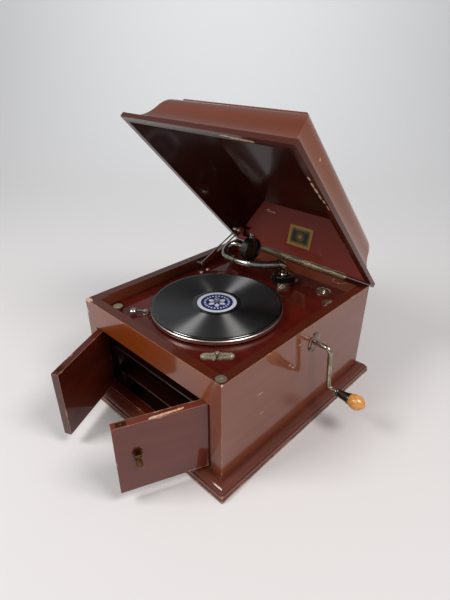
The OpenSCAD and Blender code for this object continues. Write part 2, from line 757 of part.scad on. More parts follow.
module door_catches() {
  color([0.72, 0.6, 0.35]) for (s = [-1, 1]) translate([s * 15, -hy + 7, rail_z]) union() {
    cylinder(r = 3.5, h = 11);
    intersection() {
      translate([0, 0, 1.8]) sphere(r = 2.4);
      translate([0, 0, -2]) cylinder(r = 3, h = 4);
    }
  }
}

// Crank: one bent rod from the worm to the end of the grip
module crank_rod() {
  color([0.72, 0.72, 0.7]) translate([0, crank_y, crank_z]) rotate([crank_tilt, 0, 0]) {
    union() {
      translate([arm_plane - bend, 0, 0]) rotate([0, -90, 0])
        cylinder(r = rod_r, h = arm_plane - bend - barrel_x + 14);
      bar_x([barrel_x - 10, 0, 0], worm_r, 20);
      translate([arm_plane - bend, 0, -bend]) rotate([90, 0, 0]) rotate_extrude(angle = 90) translate([bend, 0]) circle(rod_r);
      translate([arm_plane, 0, bend - crank_throw]) cylinder(r = rod_r, h = crank_throw - 2 * bend);
      translate([arm_plane + bend, 0, bend - crank_throw]) rotate([90, 0, 0]) rotate([0, 0, 180])
        rotate_extrude(angle = 90) translate([bend, 0]) circle(rod_r);
      bar_x([arm_plane + bend, 0, -crank_throw], rod_r, 10 + ferrule_len + grip_len - 6);
      bar_x([grip_x - 4.2, 0, -crank_throw], rod_r + 2.2, 4);
    }
  }
}
module on_grip() {
  translate([0, crank_y, crank_z]) rotate([crank_tilt, 0, 0]) translate([grip_x, 0, -crank_throw])
    rotate([0, 90, 0]) children();
}
module grip_ferrule() {
  color([0.78, 0.62, 0.34]) on_grip() difference() {
    rotate_extrude() polygon([[0, 0], [7.4, 0], [7.8, 1.5], [7, 3], [7.6, 8], [9.4, ferrule_len - 5],
      [10.8, ferrule_len - 3], [10.8, ferrule_len], [0, ferrule_len]]);
    translate([0, 0, -1]) cylinder(r = rod_r + run_fit, h = ferrule_len + 2);
  }
}
module crank_grip() {
  color([0.78, 0.42, 0.12]) on_grip() difference() {
    rotate_extrude() polygon(concat([[0, ferrule_len]],
      [for (i = [0 : 14]) [10.4 * (1 - i / 14) + grip_r * 0.86 * pow(sin(180 * pow(i / 14, 0.9)), 0.75) * (0.4 + 0.6 * i / 14) + (i / 14) * 1.2,
        ferrule_len + grip_len * i / 14]], [[0, ferrule_len + grip_len]]));
    translate([0, 0, ferrule_len - 1]) cylinder(r = rod_r + run_fit, h = grip_len - 4);
  }
}

// Turntable
module platter() {
  color([0.72, 0.71, 0.68]) translate([0, spindle_y, platter_z]) difference() {
    union() {
      rotate_extrude() polygon([[0, platter_h - 2.5], [platter_r - 3, platter_h - 3], [platter_r - 3, 0], [platter_r - 1, 0],
        [platter_r, 1], [platter_r, platter_h - 1], [platter_r - 1, platter_h], [0, platter_h]]);
      cylinder(r = 14, h = platter_h - 1);
    }
    translate([0, 0, -1]) cylinder(r = spindle_r + 1.4, h = platter_h + 2);
  }
}
module mat() {
  color([0.3, 0.1, 0.1]) translate([0, spindle_y, deck_z]) difference() {
    cylinder(r = record_r - 1.5, h = mat_t);
    translate([0, 0, -1]) cylinder(r = spindle_r + 1.4, h = mat_t + 2);
  }
}
module record() {
  color([0.04, 0.04, 0.04]) translate([0, spindle_y, mat_z]) difference() {
    rotate_extrude() polygon([[0, 0], [record_r - 0.6, 0], [record_r, 0.6], [record_r, record_t - 0.6],
      [record_r - 0.6, record_t], [record_r - 5, record_t], [record_r - 5.6, record_t - 0.25],
      [label_r + 9, record_t - 0.25], [label_r + 8, record_t], [0, record_t]]);
    translate([0, 0, -1]) cylinder(r = spindle_r + 0.1, h = record_t + 2);
  }
}
module record_label() {
  color([0.2, 0.3, 0.6]) translate([0, spindle_y, record_z]) difference() {
    cylinder(r = label_r, h = 0.2);
    translate([0, 0, -1]) cylinder(r = spindle_r + 0.1, h = 3);
  }
}
module spindle() {
  color([0.75, 0.75, 0.74]) translate([0, spindle_y, 0]) union() {
    translate([0, 0, motor_z + 1]) cylinder(r = 2.5, h = 5);
    translate([0, 0, motor_z + 4]) cylinder(r = spindle_r + 1.4, h = deck_z + mat_t - motor_z - 4);
    translate([0, 0, mat_z - 1]) cylinder(r = spindle_r - 0.6, h = record_t + 2);
    translate([0, 0, record_z + 0.4]) cylinder(r = spindle_r, h = 5.6);
    translate([0, 0, record_z + 6]) cylinder(r1 = spindle_r, r2 = 1.6, h = 3);
    translate([0, 0, gear_z - 0.5]) rotate([0, 0, mesh_a + 180]) spur(pinion_teeth, gear_m, 5);
    translate([0, 0, gov_z - 2]) spur(governor_teeth, gov_wheel_m, 4);
  }
}

// Spring motor
mesh_a = atan2(spindle_y, -barrel_x);
module spring_barrel() {
  color([0.7, 0.58, 0.33]) translate([barrel_x, 0, 0]) difference() {
    union() {
      translate([0, 0, gear_z]) rotate([0, 0, mesh_a + 180 / barrel_teeth]) spur(barrel_teeth, gear_m, 4);
      translate([0, 0, barrel_z - 0.5]) cylinder(r = barrel_r, h = barrel_h + 0.5);
      translate([0, 0, gear_z - 2.8]) cylinder(r = 9, h = 3);
    }
    translate([0, 0, barrel_z]) cylinder(r = barrel_r - 2, h = barrel_h - 2);
    translate([0, 0, gear_z - 5]) cylinder(r = 4 + run_fit, h = barrel_h + 20);
  }
}
coils = 5;
module mainspring() {
  r0 = 9;
  dr = (barrel_r - 3 - r0) / coils;
  color([0.35, 0.36, 0.4]) translate([barrel_x, 0, barrel_z + 1]) linear_extrude(barrel_h - 5) polygon(concat(
    [for (i = [0 : 24 * coils]) (r0 + dr * i / 24) * [cos(15 * i), sin(15 * i)]],
    [for (i = [24 * coils : -1 : 0]) (r0 + dr * i / 24 - 1) * [cos(15 * i), sin(15 * i)]]));
}
module winding_wheel() {
  color([0.7, 0.58, 0.33]) translate([barrel_x, 0, 0]) union() {
    translate([0, 0, motor_z + 1]) cylinder(r = 4, h = under_z - motor_z - 2);
    translate([0, 0, wheel_z]) spur(winding_teeth, winding_m, 6);
  }
}
module governor() {
  color([0.66, 0.55, 0.32]) translate([0, gov_y, gov_z]) union() {
    bar_x([-19, 0, 0], 1.5, 84);
    bar_x([-9, 0, 0], gov_worm_r, 18);
    bar_x([14, 0, 0], 4, 8);
    bar_x([47, 0, 0], 4, 6);
    bar_x([55, 0, 0], 15, 2.5);
    for (a = [0, 120, 240]) rotate([a, 0, 0]) union() {
      translate([34.5, 0, weight_out]) rotate([0, 90, 0]) cylinder(r = 4.6, h = 7, center = true);
      translate([18, 0, 2.5]) rotate([0, atan2(16.5, weight_out - 2.5), 0]) cylinder(r = 0.9, h = norm([16.5, weight_out - 2.5]));
      translate([50, 0, 2.5]) rotate([0, -atan2(15.5, weight_out - 2.5), 0]) cylinder(r = 0.9, h = norm([15.5, weight_out - 2.5]));
    }
  }
}
module motor_frame() {
  pillars = [[-24, -48], [96, -50], [96, 52], [-24, 52]];
  color([0.42, 0.43, 0.44]) difference() {
    union() {
      box([-34, -78, under_z - 4], [106, 62, under_z]);
      box([-32, -56, motor_z], [104, 60, motor_z + 3]);
      for (p = pillars) translate([p[0], p[1], motor_z]) cylinder(r = 4, h = motor_depth);
      box([barrel_x + 24, crank_y - 10, crank_z - 9], [barrel_x + 30, crank_y + 10, under_z - 1]);
      box([-20, gov_y - 5, gov_z - 6], [-16, gov_y + 5, under_z - 1]);
      box([62, gov_y - 5, gov_z - 6], [66, gov_y + 5, under_z - 1]);
    }
    translate([0, spindle_y, motor_z + 3]) cylinder(r = spindle_r + 1.4 + run_fit, h = 100);
    translate([0, spindle_y, motor_z + 1]) cylinder(r = 2.5 + run_fit, h = 100);
    translate([barrel_x, 0, motor_z + 1]) cylinder(r = 4 + run_fit, h = under_z - motor_z - 1.9);
    bar_x([barrel_x + 20, crank_y, crank_z], rod_r + run_fit, 20);
    bar_x([-19.2, gov_y, gov_z], 1.5 + run_fit, 84.4);
  }
}

// Tonearm
module arm_base() {
  color([0.08, 0.08, 0.08]) translate([arm_x, arm_y, 0]) difference() {
    union() {
      translate([0, 0, board_z + 3.3]) cylinder(r = 16, h = 8);
      translate([0, 0, board_z + 9.3]) cylinder(r = foot_r, h = 10.2);
      translate([0, 0, board_z + 19.5]) cylinder(r1 = foot_r, r2 = foot_r - 1.5, h = 1.5);
      translate([0, 0, board_z + 20]) cylinder(r1 = 13, r2 = 10.5, h = 4);
      rotate([0, 0, head_a]) translate([0, 0, board_z + 19]) cylinder(r = arm_r + 0.4, h = arm_up - elbow_r - 19);
      elbow_torus(arm_r + 0.4);
      rotate([0, 0, head_a]) bar_x([elbow_r - 3, 0, arm_z], arm_r + 1.6, 3);
    }
    rotate([0, 0, head_a]) translate([0, 0, board_z]) cylinder(r = arm_r - 2.5, h = arm_up - elbow_r);
    elbow_torus(arm_r - 2.5);
  }
}
module elbow_torus(r) {
  rotate([0, 0, head_a]) translate([elbow_r, 0, arm_z - elbow_r]) rotate([90, 0, 0]) rotate([0, 0, 90])
    rotate_extrude(angle = 90) translate([elbow_r, 0]) circle(r);
}
tube_n = 26;
ring_n = 28;
// Angle of the tube's centreline about the arc's centre: it ends straight below the centre
function tube_a(t) = -90 + turn_a * (1 - t);
function tube_p(t, r, k) = let (a = tube_a(t), q = 360 * k / ring_n)
  [arc_c[0] + (arc_r + r * cos(q)) * cos(a), arc_c[1] + (arc_r + r * cos(q)) * sin(a), arm_z + r * sin(q)];
function tube_r(t) = mix(arm_r, arm_end_r, t);
function at(i, k) = i * ring_n + k % ring_n;
module arm_tube() {
  n = ring_n;
  outer = [for (i = [0 : tube_n]) for (k = [0 : n - 1]) tube_p(i / tube_n, tube_r(i / tube_n), k)];
  inner = [for (i = [0 : tube_n]) for (k = [0 : n - 1]) tube_p(i / tube_n, tube_r(i / tube_n) - 2.2, k)];
  m = (tube_n + 1) * n;
  color([0.72, 0.71, 0.68]) {
    polyhedron(concat(outer, inner), concat(
      [for (i = [0 : tube_n - 1]) for (k = [0 : n - 1]) [at(i, k), at(i + 1, k), at(i, k + 1)]],
      [for (i = [0 : tube_n - 1]) for (k = [0 : n - 1]) [at(i, k + 1), at(i + 1, k), at(i + 1, k + 1)]],
      [for (i = [0 : tube_n - 1]) for (k = [0 : n - 1]) [m + at(i, k), m + at(i, k + 1), m + at(i + 1, k)]],
      [for (i = [0 : tube_n - 1]) for (k = [0 : n - 1])
        [m + at(i, k + 1), m + at(i + 1, k + 1), m + at(i + 1, k)]],
      [for (k = [0 : n - 1]) [at(0, k), at(0, k + 1), m + at(0, k)]],
      [for (k = [0 : n - 1]) [at(0, k + 1), m + at(0, k + 1), m + at(0, k)]],
      [for (k = [0 : n - 1]) [at(tube_n, k), m + at(tube_n, k), at(tube_n, k + 1)]],
      [for (k = [0 : n - 1]) [at(tube_n, k + 1), m + at(tube_n, k), m + at(tube_n, k + 1)]]));
    translate([neck_x, neck_y, arm_z]) difference() {
      union() {
        bar_x([0, 0, 0], arm_end_r + 1.1, collar_len);
        bar_x([0, 0, 0], arm_end_r + 2.2, 3);
        bar_x([collar_len - 3, 0, 0], arm_end_r + 2, 3);
      }
      bar_x([-1, 0, 0], neck_r - 1 + run_fit, collar_len + 2);
    }
  }
}

// Gooseneck and soundbox, drawn upright and then leant back about the collar's axis
module leant() {
  translate([neck_x, neck_y, arm_z]) rotate([-neck_lean, 0, 0]) children();
}
box_x = 23.5;
module neck_half(r) {
  translate([-5, 0, neck_bend]) rotate([90, 0, 0]) rotate([0, 0, 90]) rotate_extrude(angle = 180)
    translate([neck_bend, 0]) circle(r);
}
module gooseneck() {
  color([0.76, 0.75, 0.72]) leant() difference() {
    union() {
      bar_x([-5, 0, 0], neck_r - 1, collar_len - 2);
      bar_x([-5, 0, 0], neck_r + 1.8, 4.8);
      neck_half(neck_r);
      bar_x([-5, 0, 2 * neck_bend], neck_r, box_x + 5);
      bar_x([-5, 0, 2 * neck_bend], neck_r + 1.4, 3);
      bar_x([box_x - 5, 0, 2 * neck_bend], neck_r + 2, 5);
    }
    bar_x([-5, 0, 0], neck_r - 2.2, collar_len);
    neck_half(neck_r - 2.2);
    bar_x([-5, 0, 2 * neck_bend], neck_r - 2.2, box_x + 9);
  }
}
module soundbox_case() {
  color([0.8, 0.79, 0.76]) leant() translate([box_x, 0, 2 * neck_bend]) rotate([0, 90, 0]) difference() {
    rotate_extrude() polygon([[0, 0], [box_r - 3, 0], [box_r - 1, 1], [box_r, 3], [box_r, box_t - 3], [box_r - 1.4, box_t - 0.6],
      [box_r - 3, box_t], [box_r - 5.5, box_t], [box_r - 6.5, box_t - 1.6], [box_r - 6.5, box_t - 3], [0, box_t - 3]]);
    translate([0, 0, -1]) cylinder(r = neck_r - 2.2, h = 10);
    translate([0, 0, 4]) cylinder(r = box_r - 4, h = box_t - 7);
    translate([0, 0, 4]) cylinder(r = box_r - 6.6, h = box_t);
  }
}
module diaphragm() {
  color([0.75, 0.72, 0.6]) leant() translate([box_x + box_t - 4.2, 0, 2 * neck_bend]) rotate([0, 90, 0])
    union() {
      cylinder(r = box_r - 4, h = 0.4);
      translate([0, 0, 0.3]) cylinder(r = 3, h = 0.9);
    }
}
module needle_chuck() {
  color([0.8, 0.79, 0.76]) leant() translate([box_x, 0, 2 * neck_bend]) rotate([neck_lean, 0, 0]) union() {
    box([box_t, -1.1, 0.5], [box_t + 1.8, 1.1, box_r + 2]);
    bar_x([box_t - 3, 0, 0], 1.1, 4.2);
    bar_x([box_t, 0, 0], 2.2, 1.6);
    box([box_t * 0.35, -4, box_r + 0.1], [box_t + 1.8, 4, box_r + 3]);
    translate([box_t * 0.6, 0, box_r + 2]) cylinder(r = 2.6, h = 7.4);
    bar_x([box_t * 0.6, 0, box_r + 6.4], 1.6, 7);
    bar_x([box_t * 0.6 + 5, 0, box_r + 6.4], 2.6, 2.4);
  }
}

// Brake and speed
module brake_lever() {
  color([0.76, 0.75, 0.72]) translate([brake_p[0], brake_p[1], board_z]) union() {
    translate([0, 0, -5]) cylinder(r = 2.4, h = 9);
    translate([0, 0, 0.1]) cylinder(r = 6, h = 3.4);
    translate([0, 0, 3]) cylinder(r = 5, h = 6.2);
    translate([0, 0, 9]) cylinder(r = 3.4, h = 1.4);
    rotate([0, 0, 23.5]) box([0, -2, 5], [6.6, 2, 8.5]);
    rotate([0, 0, 216.4]) box([0, -2.2, 5.8], [20, 2.2, 8.6]);
    translate([-19, -14, 5.2]) rotate_extrude() polygon([[0, 0], [6.2, 0], [7.5, 1.6], [7.5, 3], [5.5, 5], [0, 4.2]]);
  }
}
module brake_pad() {
  color([0.25, 0.16, 0.1]) translate([brake_p[0], brake_p[1], board_z]) rotate([0, 0, 23.5]) union() {
    box([6.6, -2.2, 4.6], [9, 2.2, 9]);
    translate([9, 0, 4.6]) cylinder(r = 2.2, h = 4.4);
  }
}
plate_half = [[0.5, 0.1], [0.42, 0.14], [0.42, 0.38], [0.36, 0.43], [0.22, 0.45], [0.16, 0.49],
  [-0.16, 0.49], [-0.22, 0.45], [-0.36, 0.43], [-0.42, 0.38], [-0.42, 0.14], [-0.5, 0.1]];
plate_pts = concat(plate_half, [for (q = plate_half) -q]);
module speed_plate() {
  color([0.78, 0.77, 0.72]) translate([0, spindle_y, board_z]) rotate([0, 0, speed_a]) union() {
    translate([154.6, 0, 0]) linear_extrude(2) polygon([for (q = plate_pts) [q[0] * plate_w, q[1] * plate_len]]);
    for (t = [-1, 1]) translate([154.6, t * (plate_len / 2 - 4), 1.5]) cylinder(r = 2.6, h = 1.3);
    translate([150, 0, 1.5]) cylinder(r = 2, h = 3);
    translate([150, 0, 3.8]) cylinder(r = 3.4, h = 1.2);
  }
}
module speed_pointer() {
  color([0.8, 0.79, 0.75]) translate([speed_p[0], speed_p[1], board_z + 2.1]) rotate([0, 0, -50.1])
    difference() {
      union() {
        cylinder(r = 4.4, h = 1.6);
        linear_extrude(1.6) polygon([[0, -4.4], [0, 4.4], [9, 2.6], [20, 0], [9, -2.6]]);
      }
      translate([0, 0, -1]) cylinder(r = 2 + run_fit, h = 4);
    }
}

side_left();
side_right();
back_panel();
top_rail();
door_sill();
base_board();
plinth_front();
plinth_right();
plinth_back();
plinth_left();
motorboard();
board_fixings();
horn_box();
horn_elbow();
louvres();
arm_flange();
needle_cups();
crank_escutcheon();
hinge_case_leaf();
stay_case_bracket();
motor_frame();
speed_plate();
door_catches();
door_pins();
lid_front();
lid_right();
lid_back();
lid_left();
lid_top();
lid_lining();
hinge_lid_leaf();
stay_lid_bracket();
stay_bar();
door_left();
left_fittings();
left_pull();
door_right();
right_fittings();
right_pull();
crank_rod();
grip_ferrule();
crank_grip();
platter();
mat();
record();
record_label();
spindle();
spring_barrel();
mainspring();
winding_wheel();
governor();
arm_base();
arm_tube();
gooseneck();
soundbox_case();
diaphragm();
needle_chuck();
brake_lever();
brake_pad();
speed_pointer();
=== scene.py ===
# %% [markdown]
# # A table gramophone, dressed for its portrait
# The joiner's and fitter's parts come ready made from the CAD model, each in its place. This notebook gives
# every part its finish, adds the small things that only the eye needs, and lights the whole like a studio
# picture.

# %% Load the frame
import json
from math import pi, radians, sin, tau

import bmesh
import bpy
from mathutils import Matrix, Vector


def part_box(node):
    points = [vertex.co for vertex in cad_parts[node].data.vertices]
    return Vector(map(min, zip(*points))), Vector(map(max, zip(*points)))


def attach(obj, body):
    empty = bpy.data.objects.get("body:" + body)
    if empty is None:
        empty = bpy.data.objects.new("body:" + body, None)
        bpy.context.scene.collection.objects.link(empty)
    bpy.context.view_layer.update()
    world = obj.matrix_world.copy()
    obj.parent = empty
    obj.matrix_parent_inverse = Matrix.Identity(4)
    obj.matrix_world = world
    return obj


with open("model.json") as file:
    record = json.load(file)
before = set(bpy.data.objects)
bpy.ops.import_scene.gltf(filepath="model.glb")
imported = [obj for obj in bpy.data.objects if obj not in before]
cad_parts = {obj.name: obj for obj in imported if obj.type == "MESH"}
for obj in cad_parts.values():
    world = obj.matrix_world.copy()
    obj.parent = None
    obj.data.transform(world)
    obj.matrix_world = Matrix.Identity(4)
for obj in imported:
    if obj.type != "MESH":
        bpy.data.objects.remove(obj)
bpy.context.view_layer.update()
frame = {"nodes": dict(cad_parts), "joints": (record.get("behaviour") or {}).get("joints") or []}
MM = 0.001
JOINTS = {joint["name"]: joint for joint in frame["joints"]}

# %% [markdown]
# ## Shader sums written as Python
# A material is a network of nodes, and most of them do plain arithmetic. Wrapping a socket in a small class
# lets a sum such as `1 - worn * 0.4` add its own Math nodes, so that a finish reads like the recipe it is.


# %% A socket that can be added and scaled
class Field:
    """One output of a material's node, which takes part in sums."""

    def __init__(self, recipe, socket):
        self.recipe, self.socket = recipe, socket

    def __add__(self, other):
        return self.recipe.sum("ADD", self, other)

    def __sub__(self, other):
        return self.recipe.sum("SUBTRACT", self, other)

    def __rsub__(self, other):
        return self.recipe.sum("SUBTRACT", other, self)

    def __mul__(self, other):
        return self.recipe.sum("MULTIPLY", self, other)

    def __truediv__(self, other):
        return self.recipe.sum("DIVIDE", self, other)

    __radd__, __rmul__ = __add__, __mul__


# %% [markdown]
# ## One class for every material
# Most finishes here use the same few nodes: noise, a mix of two colours, a soft step from 0 to 1, and bump.
# One class adds any of them in a line and keeps the links out of sight. Its coordinates are the object's
# own, in metres, so a pattern keeps its real size and stays on a part that moves.


# %% A material under construction
class Recipe:
    """Starts a material, adds any node with one method, and ends by setting the shader."""

    def __init__(self, name):
        self.material = bpy.data.materials.new(name)
        self.material.use_nodes = True
        self.tree = self.material.node_tree
        self.shader = self.tree.nodes["Principled BSDF"]
        self.place = self.add("ShaderNodeTexCoord", out="Object")

    def add(self, kind, settings=None, sockets=None, out=0):
        """Any node, with its settings first and then the values or links of its sockets."""
        node = self.tree.nodes.new(kind)
        for key, value in (settings or {}).items():
            setattr(node, key, value)
        for key, value in (sockets or {}).items():
            if isinstance(value, Field):
                self.tree.links.new(value.socket, node.inputs[key])
            else:
                node.inputs[key].default_value = value
        return Field(self, node.outputs[out])

    def sum(self, operation, *values):
        """A Math node, on fields or numbers."""
        return self.add("ShaderNodeMath", {"operation": operation}, dict(enumerate(values)))

    def least(self, a, b):
        return self.sum("MINIMUM", a, b)

    def most(self, a, b):
        return self.sum("MAXIMUM", a, b)

    def between(self, value, low, high):
        """0 at low, 1 at high, with soft ends."""
        return self.add("ShaderNodeMapRange", {"interpolation_type": "SMOOTHSTEP"},
                        {"Value": value, "From Min": low, "From Max": high})

    def band(self, value, inner, outer, soft):
        """1 from inner to outer, 0 beyond, with edges of a soft width outside them."""
        return self.between(value, inner - soft, inner) * self.between(value, outer + soft, outer)

    def noise(self, scale, detail=3.0, stretch=(1, 1, 1), place=None, rough=0.55):
        """Soft patches, scale of them to the metre, and narrower along an axis whose stretch is above 1."""
        mapped = self.add("ShaderNodeMapping", {}, {"Vector": place or self.place, "Scale": stretch})
        return self.add("ShaderNodeTexNoise", {},
                        {"Vector": mapped, "Scale": scale, "Detail": detail, "Roughness": rough})

    def mix(self, a, b, factor):
        """Colour a where the factor is 0, colour b where it is 1."""
        return self.add("ShaderNodeMix", {"data_type": "RGBA"}, {0: factor, 6: a, 7: b}, out=2)

    def split(self, place=None):
        """The x, y and z of coordinates, each as a field."""
        parts = self.add("ShaderNodeSeparateXYZ", {}, {"Vector": place or self.place})
        return [Field(self, socket) for socket in parts.socket.node.outputs]

    def bump(self, height, depth, strength=1.0):
        """Tilts the shading as if the surface rose by the height times a depth in metres."""
        tilted = self.add("ShaderNodeBump", {}, {"Height": height, "Distance": depth, "Strength": strength})
        self.tree.links.new(tilted.socket, self.shader.inputs["Normal"])

    def finish(self, **sockets):
        """Sets the shader's own sockets: Base_Color stands for Base Color."""
        for key, value in sockets.items():
            target = self.shader.inputs[key.replace("_", " ")]
            if isinstance(value, Field):
                self.tree.links.new(value.socket, target)
            else:
                target.default_value = value
        return self.material


# %% [markdown]
# ## Colours as the eye gives them
# Blender mixes light in linear numbers, but a colour is judged on a screen. Each one is written from 0 to
# 255, as a colour picker shows it, and made linear in one place.


# %% Colours, and parts that take a material
def rgb(red, green, blue):
    """A colour given as it looks on screen, 0 to 255, as Blender's linear numbers."""
    def linear(value):
        value /= 255
        return value / 12.92 if value <= 0.04045 else ((value + 0.055) / 1.055) ** 2.4
    return (linear(red), linear(green), linear(blue), 1)


def dress(material, *nodes):
    """Puts a material on CAD parts."""
    for name in nodes:
        for slot in frame["nodes"][name].material_slots:
            slot.material = material


# %% [markdown]
# ## Polished mahogany
# The case is red mahogany under many thin coats of lacquer. Three things make it: quiet streaks of grain
# along the board, a clear coat that mirrors the studio, and a century of knocks that show pale wood at the
# edges. The grain is noise stretched along the board. The worn edges follow the edges of a box laid round
# the part, where two of its faces are near at once. A thin pale line always kept along every edge is worn
# wood and a painted highlight in one. Single chips are small ragged blobs at their own spots.

# %% Where wood is worn, chipped or scratched
WEAR_FADE = 0.35 * MM
CHIP_OUTSIDE, CHIP_INSIDE = 1.75, 1.66
SCRATCH_TURN = (0.6, 0.42, 0.6)


def edge_wear_and_highlight(recipe, place, corners, width, amount, line):
    """1 on worn wood near the edges of a box, 0 elsewhere. A thin line along each edge is always on, which is
    worn wood and a painted highlight of the edge in one, and a wider strip of wear where the noise is high,
    which a larger amount makes more common."""
    x, y, z = [recipe.least(value - low, high - value)
               for value, low, high in zip(recipe.split(place), *corners)]
    second_nearest = recipe.most(recipe.least(x, y), recipe.least(recipe.most(x, y), z))
    broken = recipe.noise(38, 5, place=place) * 1.7 + recipe.noise(200, 4, place=place) * 0.6
    # The line is always on: worn wood and a painted highlight along the edge in one.
    reach = recipe.between(broken, 1.62 - amount, 2.0 - amount) * width + line
    return recipe.between(second_nearest - reach, 0.0, -WEAR_FADE)


def chips(recipe, spots):
    """1 inside chips of the lacquer. A spot is its centre and half sizes in mm, with lid and doors open."""
    ragged = recipe.noise(320, 5) * 1.6 - 0.15
    bare = 0.0
    for centre, half in spots:
        scale = [1 / (size * MM) for size in half]
        shift = [-at / size for at, size in zip(centre, half)]
        near = recipe.add("ShaderNodeMapping", {"vector_type": "POINT"},
                          {"Vector": recipe.place, "Scale": scale, "Location": shift})
        away = recipe.add("ShaderNodeVectorMath", {"operation": "LENGTH"}, {0: near}, out="Value")
        bare = recipe.most(bare, recipe.between(away + ragged, CHIP_OUTSIDE, CHIP_INSIDE))
    return bare


def scratches(recipe, place):
    """1 on fine straight scratches, which run one way and lie in some places only."""
    spun = recipe.add("ShaderNodeMapping", {}, {"Vector": place, "Rotation": SCRATCH_TURN})
    lines = recipe.noise(60, 2, stretch=(1.2, 34, 34), place=spun)
    where = recipe.noise(9, 2, place=place)
    return recipe.between(lines, 0.70, 0.74) * recipe.between(where, 0.52, 0.62)


# %% Grain along one axis, and a part's coordinates turned back to its shut place
ACROSS_FIGURE, ACROSS_PORES = 12.0, 7.0


def grain(recipe, place, along, dark, light):
    """The colour of a board, and its pores."""
    figured = [1.0 if axis == along else ACROSS_FIGURE for axis in "XYZ"]
    pored = [1.0 if axis == along else ACROSS_PORES for axis in "XYZ"]
    figure = recipe.noise(4, 3, figured, place)
    streak = recipe.noise(22, 6, figured, place, 0.7)
    pores = recipe.noise(150, 3, pored, place, 0.8)
    colour = recipe.mix(rgb(*dark), rgb(*light), recipe.between(figure * 0.8 + streak * 0.3, 0.30, 0.84))
    deep = rgb(*[value * 0.55 for value in dark])
    return recipe.mix(colour, deep, recipe.between(pores, 0.60, 0.76) * 0.2), pores


def turned_back(recipe, joint_name, degrees):
    """Coordinates of a part that stands open, as they would be with it shut."""
    joint = JOINTS[joint_name]
    return recipe.add("ShaderNodeVectorRotate", {"rotation_type": "AXIS_ANGLE"},
                      {"Vector": recipe.place, "Center": joint["pos_m"], "Axis": joint["axis"],
                       "Angle": radians(degrees)})


# %% The lacquered wood itself
MAHOGANY = (114, 54, 32), (124, 62, 39)
# RIM_PAINTED_SHADE is painted shade for the case's flat top.
SCRATCHED, NICKED, RIM_PAINTED_SHADE = rgb(178, 128, 100), rgb(206, 164, 128), rgb(66, 20, 12)
# RUBBED_AND_HIGHLIT is the colour of worn edges and of the painted edge highlight.
RUBBED_AND_HIGHLIT = rgb(150, 86, 52), rgb(206, 164, 124)
BARE_WOOD = rgb(214, 164, 110), rgb(226, 204, 184)
# PAINTED_TONE_STRENGTH is how strongly painted shade and painted light cover the wood.
PAINTED_TONE_STRENGTH, WEAR_AND_HIGHLIGHT_SHOW, WEAR_DULLS = 0.85, 0.75, 0.3


def wood(name, along="X", tones=MAHOGANY, corners=None, shut=None, wear=0.35, width=3 * MM, line=0.6 * MM,
         gloss=0.08, rough=0.4, coat=1.0, spots=(), rim=None, painted_light=None):
    """Lacquered wood. Corners are the box whose edges are worn and carry a painted highlight, shut is a joint
    and the angle that closes the part, rim the heights where its flat top begins and is darkened as painted
    shade, and tint a mask and the tone laid there, painted shade on the lid's rim band and painted light on
    the lining's back wall."""
    recipe = Recipe(name)
    place = turned_back(recipe, *shut) if shut else recipe.place
    colour, pores = grain(recipe, place, along, *tones)
    marks = scratches(recipe, place)
    clouds = recipe.noise(14, 4, place=place)
    roughness = clouds * 0.14 + rough - 0.07 + marks * 0.2
    colour = recipe.mix(colour, SCRATCHED, marks * 0.3)
    nicks = recipe.between(recipe.noise(330, 2, place=place), 0.745, 0.775)
    colour = recipe.mix(colour, NICKED, nicks * recipe.between(clouds, 0.48, 0.58) * 0.6)
    # Painted shade on the lid's rim band and painted light on the lining's back wall.
    if painted_light:
        mask, painted_tone = painted_light
        colour = recipe.mix(colour, rgb(*painted_tone), mask(recipe, place) * PAINTED_TONE_STRENGTH)
    # Painted shade: the flat top of the case is darkened.
    if rim:
        colour = recipe.mix(colour, RIM_PAINTED_SHADE, recipe.between(recipe.split(place)[2], *rim) * PAINTED_TONE_STRENGTH)
    if corners:
        # Worn edges and the painted edge highlight take the rubbed colours.
        worn = edge_wear_and_highlight(recipe, place, corners, width, wear, line)
        rubbed_and_highlit = recipe.mix(*RUBBED_AND_HIGHLIT, recipe.noise(120, 3, place=place))
        colour = recipe.mix(colour, rubbed_and_highlit, worn * WEAR_AND_HIGHLIGHT_SHOW)
        roughness = roughness + worn * WEAR_DULLS
    if spots:
        bare = chips(recipe, spots)
        pale = recipe.mix(*BARE_WOOD, recipe.between(recipe.noise(160, 3), 0.4, 0.6))
        colour = recipe.mix(colour, pale, bare * WEAR_AND_HIGHLIGHT_SHOW)
        roughness = roughness + bare * WEAR_DULLS
    recipe.bump(pores * 0.5 + clouds * 2.2 - marks * 1.5, 0.12 * MM, 0.35)
    return recipe.finish(Base_Color=colour, Roughness=roughness, Specular_IOR_Level=0.1,
                         Coat_Weight=coat, Coat_Roughness=gloss, Coat_IOR=1.5)


# %% [markdown]
# ## The case in its woods
# Each board gets its own material because its grain runs its own way and its worn edges are its own. A
# joiner runs the grain along the length of every board, so the sides go front to back and the rails left to
# right. The top rail is more orange: its wood's own tone with a painted reflection of the open doors'
# insides.
# The motorboard is a deeper red. The flat top of the sides, the back and the top rail is darkened as painted
# shade.


# %% Boxes round the case
def box_of(name):
    """A part's lowest and highest corners, as lists."""
    low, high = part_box(name)
    return [list(low), list(high)]


def grain_axis(name):
    """A front or a back runs left to right, a side front to back."""
    return "X" if name.endswith(("front", "back")) else "Y"


left, right, front, back = map(box_of, ("side_left", "side_right", "top_rail", "back_panel"))
rim_height = left[1][2]
case_box = [[left[0][0], front[0][1], 0.0], [right[1][0], back[1][1], rim_height]]
